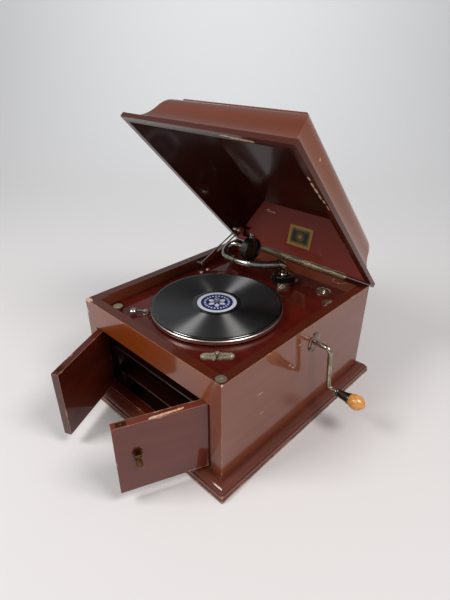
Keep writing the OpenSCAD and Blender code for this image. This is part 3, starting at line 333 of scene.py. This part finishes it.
# From these heights up the case's flat top is darkened as painted shade.
shaded_rim_top = (rim_height - 0.4 * MM, rim_height - 0.1 * MM)
plinth_box = [box_of("plinth_front")[0], box_of("plinth_back")[1]]
print("case in mm:", [round((high - low) / MM) for low, high in zip(*case_box)])

# %% Dress the case
left_chips = [((-178, -215, 221), (11, 5, 4)), ((-183, -216, 196), (3, 3, 6))]
right_chips = [((184, -217, 221), (2.5, 2.5, 1.5)), ((185, -22, 195), (1, 4, 1.2)),
               ((185, -127, 150), (1, 7, 0.8)), ((185, -120, 103), (1, 4, 0.8))]
for name, spots in (("side_left", left_chips), ("side_right", right_chips)):
    dress(wood(name + "_wood", "Y", corners=case_box, wear=0.32, spots=spots, rim=shaded_rim_top), name)
dress(wood("back_panel_wood", corners=case_box, wear=0.36, rim=shaded_rim_top), "back_panel")
# The top rail's orange tone is the wood's own colour with a painted reflection of the open doors' insides.
dress(wood("top_rail_wood_and_reflection", "X", ((122, 52, 12), (136, 62, 18)), case_box, wear=0.36, rim=shaded_rim_top),
      "top_rail")
dress(wood("sill_wood", "X", ((66, 18, 11), (96, 32, 21)), box_of("door_sill")), "door_sill")
for name in ("plinth_front", "plinth_back", "plinth_left", "plinth_right"):
    dress(wood(name + "_wood", grain_axis(name), ((92, 40, 26), (110, 54, 38)), plinth_box,
               wear=0.7, width=5 * MM), name)
dress(wood("board_wood", "X", ((66, 13, 8), (90, 23, 14)), gloss=0.05), "motorboard")
dress(wood("plain_wood", "X", ((120, 84, 52), (168, 124, 82)), rough=0.7, coat=0.0), "base_board")
# The horn's inside is dark wood made near black, as painted shade of the deep mouth.
dress(wood("horn_wood", "Y", ((16, 7, 4), (34, 14, 8)), rough=0.5, coat=0.3), "horn_box")
dress(wood("louvre_wood", "X", ((34, 11, 7), (52, 19, 12))), "louvres")
print("woods of the case:", len(bpy.data.materials))

# %% [markdown]
# ## The lid, inside and out
# Four mouldings meet in mitres over a lining of plain boards. The lid stands open, but its wear and its
# painted shade and light follow heights and planes that are simple only with it shut. So each pattern is laid
# out on coordinates turned back by the hinge's angle, and opens with the lid. The lining is one part, so its
# back wall, painted lighter and redder as painted light, is found by its plane.

# %% Places on the shut lid, and chips along its rim
lid_shut = ("lid_hinge", JOINTS["lid_hinge"]["range_deg"][0])
rim_box = [(-0.191, -0.224, 0.222), (0.191, 0.228, 0.231)]
BAND_TOP, BAND_FADE, BAND_WAVER = 231.6 * MM, 1.6 * MM, 1.2 * MM
WALL_FOOT_Y, WALL_FOOT_Z, WALL_LEAN = 208 * MM, 222 * MM, 0.651
WALL_NEAR, WALL_FAR = 0.8 * MM, 1.6 * MM
front_strip = [((62, -86.2, 536.3), (10, 1.3, 1.3)), ((82, -85, 535), (10, 1.7, 1.7)),
               ((99, -84.4, 534.4), (9, 1.9, 1.9)), ((111, -84.2, 534.1), (7, 1.7, 1.7))]
right_strip = [((181.4, -38, 487), (1.8, 5, 5)), ((181.2, -28, 476), (2.2, 6, 6)),
               ((182.2, -18, 466), (2.4, 6, 6)), ((183.4, -7, 455), (1.8, 6, 6)),
               ((185.9, 2, 446), (1.5, 5, 5)), ((187.2, 13, 434), (1.3, 6, 6))]
wall_chips = [((-88, 229, 313), (15, 2, 1)), ((-98, 229, 316), (6, 2, 1))]
lid_chips = {"lid_front": front_strip, "lid_right": right_strip + [((160, 19, 501), (2, 2.5, 2.5))]}


def shaded_rim_band(recipe, place):
    """1 on the lid's flat rim band and in the quirk above it, which get a dark tone as painted shade, 0 on
    the ogee.
    """
    height = recipe.split(place)[2] + (recipe.noise(30, 2, place=place) - 0.5) * BAND_WAVER
    return recipe.between(height, BAND_TOP + BAND_FADE, BAND_TOP)


def painted_light_wall(recipe, place):
    """1 on the lining's sloping back wall, found by its plane with the lid shut, where painted light goes, 0
    on the rest.
    """
    _, y, z = recipe.split(place)
    gap = recipe.sum("ABSOLUTE", y + (z - WALL_FOOT_Z) * WALL_LEAN - WALL_FOOT_Y)
    return recipe.between(gap, WALL_FAR, WALL_NEAR)


# %% Dress the lid
# Each moulding's rim band is darkened as painted shade.
for name in ("lid_front", "lid_right", "lid_back", "lid_left"):
    # The lid's front gets darker tones than the other three mouldings, as painted shade.
    tones = ((98, 42, 18), (112, 51, 25)) if name == "lid_front" else ((122, 66, 43), (134, 74, 48))
    dress(wood(name + "_wood", grain_axis(name), tones, rim_box, lid_shut, wear=0.26, width=1.6 * MM,
               line=0.1 * MM, coat=0.8 if name == "lid_right" else 1.0, spots=lid_chips.get(name, ()),
               painted_light=(shaded_rim_band, (62, 19, 11))), name)
dress(wood("lid_top_wood", "Y", ((104, 46, 24), (118, 56, 33)), shut=lid_shut), "lid_top")
# Painted light: the lining's back wall gets a lighter, redder tone.
dress(wood("lining_wood", "Y", ((48, 15, 9), (60, 21, 14)), shut=lid_shut, rough=0.3, gloss=0.1, coat=0.55,
           spots=front_strip + right_strip + wall_chips, painted_light=(painted_light_wall, (138, 54, 42))), "lid_lining")
print("woods with the lid's:", len(bpy.data.materials))

# %% [markdown]
# ## The two doors
# The doors are flat boards that stand ajar, so they get the same treatment: wear laid out on the shut door.
# A strip of lacquer is torn from the right door's top edge. It is a row of small chips that overlap, whose
# widths go up and down with a sine, so that the strip's edge is uneven.

# %% Dress the doors
DOOR_INNER, DOOR_OUTER = 0.5 * MM, 157.7 * MM
DOOR_FACE, DOOR_BACK = -218 * MM, -204 * MM
DOOR_FOOT, DOOR_HEAD = 30 * MM, 168 * MM
TEAR_STEPS = 13
torn_strip = [((114.5 + 1.5 * step, -297 + 3.8 * step, 168), (1.7 + 0.5 * sin(step * 1.9), 3.6, 1.4))
              for step in range(TEAR_STEPS)]
corner_chip = ((94, -337, 168), (2, 3, 2))
DOORS = (
    # side, its two ends, dark and light tone, chips
    ("left", (-DOOR_OUTER, -DOOR_INNER), ((62, 18, 9), (84, 28, 14)), []),
    ("right", (DOOR_INNER, DOOR_OUTER), ((96, 36, 22), (106, 42, 27)), torn_strip + [corner_chip]),
)
for side, ends, tones, spots in DOORS:
    name, hinge = "door_" + side, side + "_door_hinge"
    door_box = [[ends[0], DOOR_FACE, DOOR_FOOT], [ends[1], DOOR_BACK, DOOR_HEAD]]
    dress(wood(name + "_wood", "X", tones, door_box, (hinge, JOINTS[hinge]["range_deg"][0]), wear=0.42,
               width=3.2 * MM, spots=spots), name)
print("woods in all:", len(bpy.data.materials))

# %% [markdown]
# ## Metal, old and handled
# Nickel plate goes slightly yellow and dull where hands and damp reach it, and keeps its mirror elsewhere.
# Brass goes brown. Both are a metal whose colour and roughness wander with a slow noise, with fine specks
# on top, so one function with different numbers makes every metal here. The platter's nickel and the
# escutcheon's steel are also tinted with a painted reflection of the wood round them.


# %% Metal finishes
def plated(name, bright, dull, roughness, specks, scale, dents):
    """A metal that wanders between a bright and a dull colour, and between two roughnesses with them."""
    recipe = Recipe(name)
    cloud = recipe.between(recipe.noise(scale, 4), 0.38, 0.72)
    speck = recipe.between(recipe.noise(scale * 9, 3), 0.62, 0.72) * specks
    tarnish = recipe.least(cloud * 0.7 + speck, 1.0)
    colour = recipe.mix(rgb(*bright), rgb(*dull), tarnish)
    recipe.bump(recipe.noise(scale * 5, 3), 0.05 * MM, dents)
    smooth, rough = roughness
    return recipe.finish(Base_Color=colour, Metallic=1.0 - speck * 0.3,
                         Roughness=tarnish * (rough - smooth) + smooth)


METALS = (
    # name, bright and dull colour, their roughness, specks, patches to the metre, dents
    ("nickel", (222, 216, 205), (140, 126, 104), (0.16, 0.42), 0.5, 60, 0.2),
    # The platter's colour is old nickel with a painted reflection of the motorboard, a pinkish brown.
    ("platter_nickel_painted_reflection", (216, 202, 190), (170, 148, 130), (0.3, 0.4), 0.15, 24, 0.2),
    ("plain_plate", (222, 212, 190), (150, 136, 108), (0.42, 0.6), 0.8, 160, 0.2),
    ("bright_nickel", (198, 192, 182), (126, 112, 92), (0.12, 0.3), 0.35, 30, 0.06),
    ("crank_steel", (186, 176, 156), (96, 82, 60), (0.18, 0.45), 0.8, 60, 0.2),
    ("soundbox_metal", (112, 108, 106), (44, 40, 38), (0.16, 0.4), 0.4, 60, 0.2),
    ("old_bronze", (104, 72, 42), (36, 21, 13), (0.34, 0.6), 0.8, 120, 0.2),
    ("catch_bronze", (74, 42, 28), (46, 24, 15), (0.6, 0.8), 0.6, 120, 0.2),
    # The escutcheon's steel is tinted brown, a painted reflection of the mahogany round it.
    ("steel_painted_reflection", (136, 112, 102), (84, 66, 60), (0.1, 0.24), 0.3, 60, 0.2),
    ("hinge_nickel", (190, 180, 166), (136, 122, 104), (0.26, 0.4), 0.15, 12, 0.03),
    ("dark_steel", (92, 84, 78), (38, 32, 30), (0.25, 0.5), 0.5, 90, 0.2),
    ("gear_brass", (214, 172, 96), (150, 112, 58), (0.2, 0.36), 0.2, 60, 0.2),
    ("painted_iron", (70, 70, 72), (34, 34, 36), (0.4, 0.6), 0.3, 60, 0.2),
    ("spring_steel", (96, 104, 128), (52, 56, 72), (0.2, 0.4), 0.2, 60, 0.2),
)
metal = {row[0]: plated(*row) for row in METALS}
print("metals:", ", ".join(metal))

# %% Dress the metal parts
METAL_PARTS = {
    "nickel": ("stay_case_bracket", "stay_lid_bracket", "stay_bar", "speed_pointer", "brake_lever",
               "needle_cups"),
    "platter_nickel_painted_reflection": ("platter",),
    "plain_plate": ("board_fixings",),
    "bright_nickel": ("spindle", "arm_tube", "gooseneck", "needle_chuck"),
    "crank_steel": ("crank_rod",),
    "soundbox_metal": ("soundbox_case",),
    "old_bronze": ("door_pins", "left_pull", "right_pull", "left_fittings", "right_fittings"),
    "catch_bronze": ("door_catches",),
    "steel_painted_reflection": ("crank_escutcheon",),
    "hinge_nickel": ("hinge_case_leaf", "hinge_lid_leaf"),
    "dark_steel": ("grip_ferrule",),
    "gear_brass": ("spring_barrel", "winding_wheel", "governor"),
    "painted_iron": ("motor_frame", "horn_elbow"),
    "spring_steel": ("mainspring",),
}
for name, parts in METAL_PARTS.items():
    dress(metal[name], *parts)
print("metal parts:", sum(len(parts) for parts in METAL_PARTS.values()))

# %% [markdown]
# ## The speed plate
# A lever runs over a small engraved plate. Its graduations are too fine to model. A sine along the plate,
# cut off above a level, gives evenly spaced strokes, and two bands keep them in a row.


# %% Engraved plate
TICK_STEP, TICK_START, TICK_END = 2.4 * MM, 5 * MM, 18 * MM
ROW_HALF, ROW_SHIFT, ROW_FADE = 2.0 * MM, 0.4 * MM, 0.4 * MM
DIAGONAL = 0.7071


def middle_of(box):
    """The middle of a box, seen from above."""
    low, high = box
    return (low[0] + high[0]) / 2, (low[1] + high[1]) / 2


def engraved_plate():
    """Yellowed plate with a row of graduations along it and a bare middle."""
    recipe = Recipe("engraved_plate")
    middle_x, middle_y = middle_of(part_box("speed_plate"))
    x, y, _ = recipe.split()
    x, y = x - middle_x, y - middle_y
    along, across = (x + y) * DIAGONAL, (y - x) * DIAGONAL
    strokes = recipe.between(recipe.sum("SINE", along * (tau / TICK_STEP)), 0.1, 0.5)
    reach = recipe.band(recipe.sum("ABSOLUTE", along), TICK_START, TICK_END, 1 * MM)
    off_row = recipe.sum("ABSOLUTE", across + ROW_SHIFT)
    strokes = strokes * reach * recipe.between(off_row, ROW_HALF + ROW_FADE, ROW_HALF)
    aged = recipe.between(recipe.noise(200, 4), 0.4, 0.7)
    plate = recipe.mix(rgb(236, 226, 202), rgb(176, 156, 122), aged)
    return recipe.finish(Base_Color=recipe.mix(plate, rgb(70, 52, 38), strokes * 0.8), Metallic=0.8,
                         Roughness=aged * 0.2 + 0.36)


dress(engraved_plate(), "speed_plate")
print("strokes on each side of the plate:", round((TICK_END - TICK_START) / TICK_STEP))

# %% [markdown]
# ## Grip, felt and leather
# The crank's grip is a light turned wood under orange varnish. The platter's mat and the brake's pad are
# soft: they have no gloss, and a fine noise for both colour and bump reads as their nap.


# %% Grip, mat and pad
def varnished_grip():
    """Light wood with darker flecks, under varnish."""
    recipe = Recipe("grip_varnish")
    streaks = recipe.noise(60, 4, (1, 9, 9))
    flecks = recipe.between(recipe.noise(150, 3), 0.62, 0.75)
    colour = recipe.mix(rgb(196, 116, 44), rgb(240, 178, 92), recipe.between(streaks, 0.3, 0.7))
    colour = recipe.mix(colour, rgb(112, 58, 22), flecks * 0.5)
    recipe.bump(streaks, 0.1 * MM, 0.2)
    return recipe.finish(Base_Color=colour, Roughness=0.35, Coat_Weight=0.8, Coat_Roughness=0.12)


def felt(name, colour):
    """A soft matt surface, darker between its fibres."""
    recipe = Recipe(name)
    fuzz = recipe.noise(900, 4)
    hollow = rgb(*[value * 0.6 for value in colour])
    recipe.bump(fuzz, 0.4 * MM, 0.8)
    return recipe.finish(Base_Color=recipe.mix(hollow, rgb(*colour), fuzz), Roughness=0.95)


dress(varnished_grip(), "crank_grip")
dress(felt("mat_felt", (66, 24, 24)), "mat")
dress(felt("pad_leather", (58, 38, 24)), "brake_pad")
print("materials so far:", len(bpy.data.materials))

# %% [markdown]
# ## The tonearm's foot
# The foot is cast and enamelled black, and only its turned faces are bare plate. Each of its parts is one
# solid, so the finish itself has to change over it. Where the change is a circle, the distance from the
# arm's axis tells enamel from plate, and where it is a level, the height does.


# %% Distances round an upright axis
def polar(recipe, x, y):
    """Distance from the middle of two coordinates, and the angle round it."""
    return recipe.sum("SQRT", x * x + y * y), recipe.sum("ARCTAN2", y, x)


def round_axis(recipe, centre):
    """Distance from an upright axis through the centre, and the angle round it."""
    offset = recipe.add("ShaderNodeVectorMath", {"operation": "SUBTRACT"}, {0: recipe.place, 1: (*centre, 0)})
    x, y, _ = recipe.split(offset)
    return polar(recipe, x, y)


# %% Enamel and plate
ARM_AXIS = (middle_of(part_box("arm_flange"))[0], 142 * MM)
PLATE_RADIUS, PLATE_LEVEL, PLATE_EDGE = 25.5 * MM, 223 * MM, 0.3 * MM


def enamel_and_plate(name, start, by_height):
    """Black enamel up to a height or a distance from the arm's axis, and old nickel beyond it."""
    recipe = Recipe(name)
    measured = recipe.split()[2] if by_height else round_axis(recipe, ARM_AXIS)[0]
    plate = recipe.between(measured, start, start + PLATE_EDGE)
    worn = recipe.between(recipe.noise(90, 5), 0.60, 0.68) * 0.5
    black = recipe.mix(rgb(13, 12, 12), rgb(92, 76, 52), worn)
    yellowed = recipe.between(recipe.noise(70, 4), 0.4, 0.7)
    bare = recipe.mix(rgb(216, 208, 190), rgb(156, 128, 82), yellowed)
    return recipe.finish(Base_Color=recipe.mix(black, bare, plate), Metallic=plate,
                         Roughness=worn * 0.3 + 0.2, Coat_Weight=0.3, Coat_Roughness=0.1)


dress(enamel_and_plate("foot_enamel", PLATE_RADIUS, False), "arm_flange")
dress(enamel_and_plate("base_enamel", PLATE_LEVEL, True), "arm_base")
print("arm axis in mm:", [round(value / MM, 1) for value in ARM_AXIS])

# %% [markdown]
# ## The record
# A record's thousand grooves scatter light across themselves but not along, which shows as two pale wedges
# that point at the middle. Modelling them or drawing them in bump would need far too fine a grid. The
# shader's anisotropy does it instead: it stretches each highlight one way, and with no tangent linked that
# way goes round the middle of the part, as the grooves do. A quarter turn sets it across them. The played
# part is duller than the smooth rim and the ring round the label.


# %% Shellac
record_box, label_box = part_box("record"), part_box("record_label")
record_centre = middle_of(record_box)
record_r = (record_box[1][0] - record_box[0][0]) / 2
label_r = (label_box[1][0] - label_box[0][0]) / 2
RUN_OUT, RUN_IN, GROOVE_FADE = 10 * MM, 5 * MM, 2 * MM


def shellac():
    """Black shellac, dusty, with grooves from the run-in to the run-out."""
    recipe = Recipe("shellac")
    distance, _ = round_axis(recipe, record_centre)
    tracks = recipe.noise(420, 2, place=recipe.add("ShaderNodeCombineXYZ", {}, {"X": distance}))
    played = recipe.band(distance, label_r + RUN_OUT, record_r - RUN_IN, GROOVE_FADE)
    dust = recipe.between(recipe.noise(260, 4), 0.60, 0.72) * 0.05
    colour = recipe.mix(rgb(6, 7, 9), rgb(120, 122, 126), dust)
    return recipe.finish(Base_Color=colour, Roughness=played * (tracks * 0.1 + 0.22) + 0.2, IOR=1.8,
                         Specular_IOR_Level=1.0, Anisotropic=1.0, Anisotropic_Rotation=0.25)


dress(shellac(), "record")
print("record radius in mm:", round(record_r / MM, 1))

# %% [markdown]
# ## The label, and the soundbox's mica
# The label is printed in one blue on cream paper, with rings and a plain rosette. Rings come from the
# distance to the middle. Dashes and petals come from a sine of the angle: 24 waves make the dashes, and 6
# waves that move the rosette's edge in and out make its petals. The soundbox's diaphragm is brown mica,
# which is glossy and cloudy.

# %% Printed label and mica
BLUE, CREAM, PAPER_GREY = rgb(12, 15, 92), rgb(200, 204, 212), rgb(120, 112, 110)
DASHES, PETALS, RING_FADE = 24.0, 6.0, 0.01


def printed_label():
    """Rings and a rosette, by the part of the label's radius."""
    recipe = Recipe("label_print")
    distance, angle = round_axis(recipe, record_centre)
    part = distance / label_r
    dashes = recipe.between(recipe.sum("SINE", angle * DASHES), -0.1, 0.1)
    dashed_ring = dashes * recipe.band(part, 0.56, 0.66, RING_FADE)
    petals = recipe.sum("SINE", angle * PETALS) * 0.09
    rosette = recipe.between(part - petals, 0.40, 0.38) * recipe.between(part + petals, 0.20, 0.22)
    white_edge = recipe.band(part, 0.82, 1.1, RING_FADE)
    white = recipe.least(white_edge + dashed_ring + rosette * 0.9, 1.0)
    worn = recipe.noise(300, 4) * 0.1
    return recipe.finish(Base_Color=recipe.mix(recipe.mix(BLUE, CREAM, white), PAPER_GREY, worn),
                         Roughness=0.6, Specular_IOR_Level=0.15)


def mica():
    """A thin brown mineral sheet, cloudy inside."""
    recipe = Recipe("mica")
    return recipe.finish(Base_Color=recipe.mix(rgb(24, 20, 16), rgb(74, 64, 50), recipe.noise(80, 4)),
                         Roughness=0.12, Specular_IOR_Level=0.8)


dress(printed_label(), "record_label")
dress(mica(), "diaphragm")
print("label across in mm:", round(2 * label_r / MM, 1))

# %% [markdown]
# ## Turning a mesh into a piece
# The CAD model has every part but two thin trims. Each of them is modelled flat at the origin with bmesh
# operators, and then a matrix puts the mesh, not the object, in its place. So the finished object sits at the
# origin, unturned, and rides the body that carries it.


# %% Helpers for new pieces
TOUCH = 1e-6


def swing(joint_name, degrees):
    """The matrix that turns a part about its joint."""
    joint = JOINTS[joint_name]
    pivot = Matrix.Translation(joint["pos_m"])
    return pivot @ Matrix.Rotation(radians(degrees), 4, Vector(joint["axis"])) @ pivot.inverted()


def thicken(mesh, thickness):
    """Gives flat faces a thickness upwards."""
    solid = bmesh.ops.extrude_face_region(mesh, geom=mesh.faces[:])
    upper = [part for part in solid["geom"] if isinstance(part, bmesh.types.BMVert)]
    bmesh.ops.translate(mesh, vec=(0, 0, thickness), verts=upper)


def round_over(mesh, edges, radius):
    """Rounds edges in two steps."""
    bmesh.ops.bevel(mesh, geom=edges, offset=radius, segments=2, profile=0.5, affect="EDGES", material=-1)


def new_object(name, mesh):
    """An object made of a finished bmesh."""
    data = bpy.data.meshes.new(name)
    mesh.to_mesh(data)
    mesh.free()
    made = bpy.data.objects.new(name, data)
    bpy.context.scene.collection.objects.link(made)
    return made


def add_piece(name, mesh, body, material):
    """Turns a finished bmesh into a piece that rides a body."""
    bmesh.ops.recalc_face_normals(mesh, faces=mesh.faces)
    piece = new_object(name, mesh)
    piece.data.materials.append(material)
    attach(piece, body)
    print(name, "faces:", len(piece.data.polygons))


# %% [markdown]
# ## The plaque in the lid
# A gilt-edged plaque sits on the lid's sloping back wall. Its frame is a bevelled edge round a sunk field,
# made by two insets. Its picture is a plain sunburst of our own, laid out by a UV map that runs from 0 to 1
# across the plaque, because a pattern that has to sit square in a frame is easiest to place that way.

# %% The plaque's gilt and ground
PICTURE_SHAPE, RIM_EXTRA = 0.74, 0.13
RAYS = 12.0


def plaque_finish():
    """Gilt rim, thin line, rays and sun on a dark ground. Distances are in widths of the plaque."""
    recipe = Recipe("plaque_finish")
    u, v, _ = recipe.split(recipe.add("ShaderNodeTexCoord", out="UV"))
    u, v = u - 0.5, (v - 0.5) * PICTURE_SHAPE
    side = recipe.most(recipe.sum("ABSOLUTE", u), recipe.sum("ABSOLUTE", v) + RIM_EXTRA)
    rim = recipe.between(side, 0.385, 0.395)
    line = recipe.band(side, 0.350, 0.360, 0.005)
    distance, angle = polar(recipe, u, v)
    rays = recipe.between(recipe.sum("SINE", angle * RAYS), -0.1, 0.2) * recipe.between(distance, 0.19, 0.17)
    sun = recipe.between(distance, 0.08, 0.07)
    rubbed_off = recipe.between(recipe.noise(220), 0.6, 0.7) * 0.6
    gilt = recipe.least(rim + line + rays * 0.55 + sun, 1.0) * (1.0 - rubbed_off)
    ground = recipe.mix(rgb(24, 22, 15), rgb(62, 52, 32), recipe.between(recipe.noise(90), 0.35, 0.7))
    gold = recipe.mix(rgb(196, 158, 92), rgb(150, 112, 62), recipe.noise(150))
    return recipe.finish(Base_Color=recipe.mix(ground, gold, gilt), Metallic=gilt * 0.5, Roughness=0.4)


# %% The plaque's frame
PLAQUE_WIDE, PLAQUE_TALL, PLAQUE_THICK = 62 * MM, 46 * MM, 0.9 * MM
FRAME_WIDE, FRAME_ROUND, FIELD_STEP, FIELD_SUNK = 6 * MM, 0.35 * MM, 0.4 * MM, 0.5 * MM
PLAQUE_RIGHT, PLAQUE_HIGH, PLAQUE_GAP = 3 * MM, 40 * MM, 0.05 * MM


def flat_plaque():
    """A rounded frame round a sunk field, lying flat, with a UV map across it."""
    mesh = bmesh.new()
    uv = mesh.loops.layers.uv.new("UVMap")
    bmesh.ops.create_grid(mesh, x_segments=1, y_segments=1, size=0.5)
    bmesh.ops.scale(mesh, vec=(PLAQUE_WIDE, PLAQUE_TALL, 1), verts=mesh.verts)
    thicken(mesh, PLAQUE_THICK)
    top = max(mesh.faces, key=lambda face: face.calc_center_median().z)
    bmesh.ops.inset_region(mesh, faces=[top], thickness=FRAME_WIDE, depth=0)
    bmesh.ops.inset_region(mesh, faces=[top], thickness=FIELD_STEP, depth=-FIELD_SUNK)

    def on_top_outline(vert):
        x, y, z = vert.co
        at_side = abs(abs(x) - PLAQUE_WIDE / 2) < TOUCH or abs(abs(y) - PLAQUE_TALL / 2) < TOUCH
        return at_side and abs(z - PLAQUE_THICK) < TOUCH

    round_over(mesh, [edge for edge in mesh.edges if all(map(on_top_outline, edge.verts))], FRAME_ROUND)
    for face in mesh.faces:
        for loop in face.loops:
            loop[uv].uv = (loop.vert.co.x / PLAQUE_WIDE + 0.5, loop.vert.co.y / PLAQUE_TALL + 0.5)
    return mesh


def on_back_wall():
    """The matrix that stands a flat piece on the lid's back wall, with the lid shut."""
    across, facing = Vector((1, 0, 0)), Vector((0, -1, -WALL_LEAN)).normalized()
    axes = Matrix((across, facing.cross(across), facing)).transposed().to_4x4()
    foot = Vector((PLAQUE_RIGHT, WALL_FOOT_Y - WALL_LEAN * PLAQUE_HIGH, WALL_FOOT_Z + PLAQUE_HIGH))
    return Matrix.Translation(foot + facing * PLAQUE_GAP) @ axes


plaque = flat_plaque()
open_lid = swing("lid_hinge", -JOINTS["lid_hinge"]["range_deg"][0])
bmesh.ops.transform(plaque, matrix=open_lid @ on_back_wall(), verts=plaque.verts)
add_piece("lid_plaque", plaque, "lid", plaque_finish())

# %% [markdown]
# ## The speed lever's index
# A flat V with a rounded upper edge points at the graduations and moves with the speed lever. Two quads
# share its middle line, and pulling both up together gives the solid.

# %% The index
INDEX_THICK, INDEX_GAP, INDEX_ROUND = 0.7 * MM, 0.15 * MM, 0.15 * MM
INDEX_OUTLINE = [(0, -7.0), (4.6, 1.6), (3.2, 2.2), (0, -4.0), (-3.2, 2.2), (-4.6, 1.6)]


def speed_index():
    """The V lies over the middle of the plate, turned to its diagonal."""
    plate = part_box("speed_plate")
    centre = Vector((*middle_of(plate), plate[1][2] + INDEX_GAP))
    mesh = bmesh.new()
    verts = [mesh.verts.new((x * MM, y * MM, 0)) for x, y in INDEX_OUTLINE]
    for corners in ((0, 1, 2, 3), (0, 3, 4, 5)):
        mesh.faces.new([verts[i] for i in corners])
    thicken(mesh, INDEX_THICK)

    def is_upper_rim(edge):
        on_top = all(abs(vert.co.z - INDEX_THICK) < TOUCH for vert in edge.verts)
        return on_top and abs(edge.link_faces[0].normal.z - edge.link_faces[1].normal.z) > 0.5

    rim = [edge for edge in mesh.edges if is_upper_rim(edge)]
    bmesh.ops.recalc_face_normals(mesh, faces=mesh.faces)
    round_over(mesh, rim, INDEX_ROUND)
    place = Matrix.Translation(centre) @ Matrix.Rotation(radians(45), 4, "Z")
    bmesh.ops.transform(mesh, matrix=place, verts=mesh.verts)
    add_piece("speed_index", mesh, "speed", metal["nickel"])


speed_index()

# %% [markdown]
# ## The paper
# The floor and the wall behind are one strip of pale paper, as in a studio. An edge pulled back makes the
# floor, and spinning its far end makes the curve, so the two meet without a line. The curve stops little
# more than a metre up. What the record and the polished board mirror lies above that, and is the dim room.

# %% Paper sweep
PAPER_HALF_WIDE, PAPER_FRONT, PAPER_BACK = 6.0, 3.5, 1.6
PAPER_RADIUS, PAPER_ARC, PAPER_STEPS = 2.4, pi / 3, 30
PAPER_TURN = radians(43.8)


def sweep():
    """One strip of paper that lies flat and curves up behind, turned to face the camera."""
    mesh = bmesh.new()
    ends = [mesh.verts.new((x, -PAPER_FRONT, 0)) for x in (-PAPER_HALF_WIDE, PAPER_HALF_WIDE)]
    run = bmesh.ops.extrude_edge_only(mesh, edges=[mesh.edges.new(ends)])
    verts = [part for part in run["geom"] if isinstance(part, bmesh.types.BMVert)]
    bmesh.ops.translate(mesh, verts=verts, vec=(0, PAPER_FRONT + PAPER_BACK, 0))
    far_edge = [part for part in run["geom"]
                if isinstance(part, bmesh.types.BMEdge) and all(vert in verts for vert in part.verts)]
    bmesh.ops.spin(mesh, geom=far_edge + verts, cent=(0, PAPER_BACK, PAPER_RADIUS), axis=(1, 0, 0),
                   angle=PAPER_ARC, steps=PAPER_STEPS)
    bmesh.ops.rotate(mesh, verts=mesh.verts, matrix=Matrix.Rotation(PAPER_TURN, 3, "Z"))
    paper = new_object("paper_sweep", mesh)
    for face in paper.data.polygons:
        face.use_smooth = True
    matt = Recipe("paper").finish(Base_Color=rgb(232, 228, 227), Roughness=0.9, Specular_IOR_Level=0.2)
    paper.data.materials.append(matt)
    print("paper faces:", len(paper.data.polygons))


sweep()

# %% [markdown]
# ## Lights
# Two modest softboxes stand high at the left and at the right. They shape the case, and the record's grooves
# turn each of them into a pale wedge. A third one, cooler, is aimed at the paper behind. The room gives a low
# even light, which keeps the shadows soft and open.


# %% Lights and room
def softbox(name, place, aim, size, power, colour=(1, 1, 1)):
    """A rectangular lamp of a size in metres and a power in watts, turned to face a point."""
    light = bpy.data.lights.new(name, "AREA")
    light.shape, light.energy, light.color = "RECTANGLE", power, colour
    light.size, light.size_y = size
    lamp = bpy.data.objects.new(name, light)
    lamp.location = place
    lamp.rotation_euler = (Vector(aim) - Vector(place)).to_track_quat("-Z", "Y").to_euler()
    bpy.context.scene.collection.objects.link(lamp)


CASE_MIDDLE, SOFTBOX = (0, 0, 0.2), (0.8, 0.65)
softbox("left_light", (-0.6, -1.45, 1.65), CASE_MIDDLE, SOFTBOX, 24)
softbox("right_light", (1.3, 0.0, 1.85), CASE_MIDDLE, SOFTBOX, 23, (1, 0.98, 0.96))
softbox("backdrop_light", (-0.9, 0.9, 2.9), (-2.6, 2.9, 1.7), (2.4, 1.0), 62, (0.88, 0.96, 1.0))
world = bpy.data.worlds.new("room")
world.use_nodes = True
room = world.node_tree.nodes["Background"].inputs
room["Color"].default_value, room["Strength"].default_value = (0.95, 0.97, 1.0, 1), 0.27
bpy.context.scene.world = world
print("lights:", len(bpy.data.lights))

# %% [markdown]
# ## The camera
# Its place, its three angles and its lens were found by fitting the case's corners and the record's ellipse
# to the photograph. The angles are turned on in the order of a tripod's head: round, then down, then level.

# %% Camera
CAMERA_PLACE = (0.5313, -0.5733, 0.6474)
YAW, PITCH, ROLL = radians(43.775), radians(29.605), radians(0.216)
LENS, SENSOR = 26.66, 36
camera_data = bpy.data.cameras.new("camera")
camera_data.lens, camera_data.sensor_width = LENS, SENSOR
camera = bpy.data.objects.new("camera", camera_data)
camera.matrix_world = (Matrix.Translation(CAMERA_PLACE) @ Matrix.Rotation(YAW, 4, "Z")
                       @ Matrix.Rotation(pi / 2 - PITCH, 4, "X") @ Matrix.Rotation(ROLL, 4, "Z"))
bpy.context.scene.collection.objects.link(camera)
bpy.context.scene.camera = camera
bpy.context.scene.view_settings.view_transform = "Standard"
print("camera height in m:", CAMERA_PLACE[2])
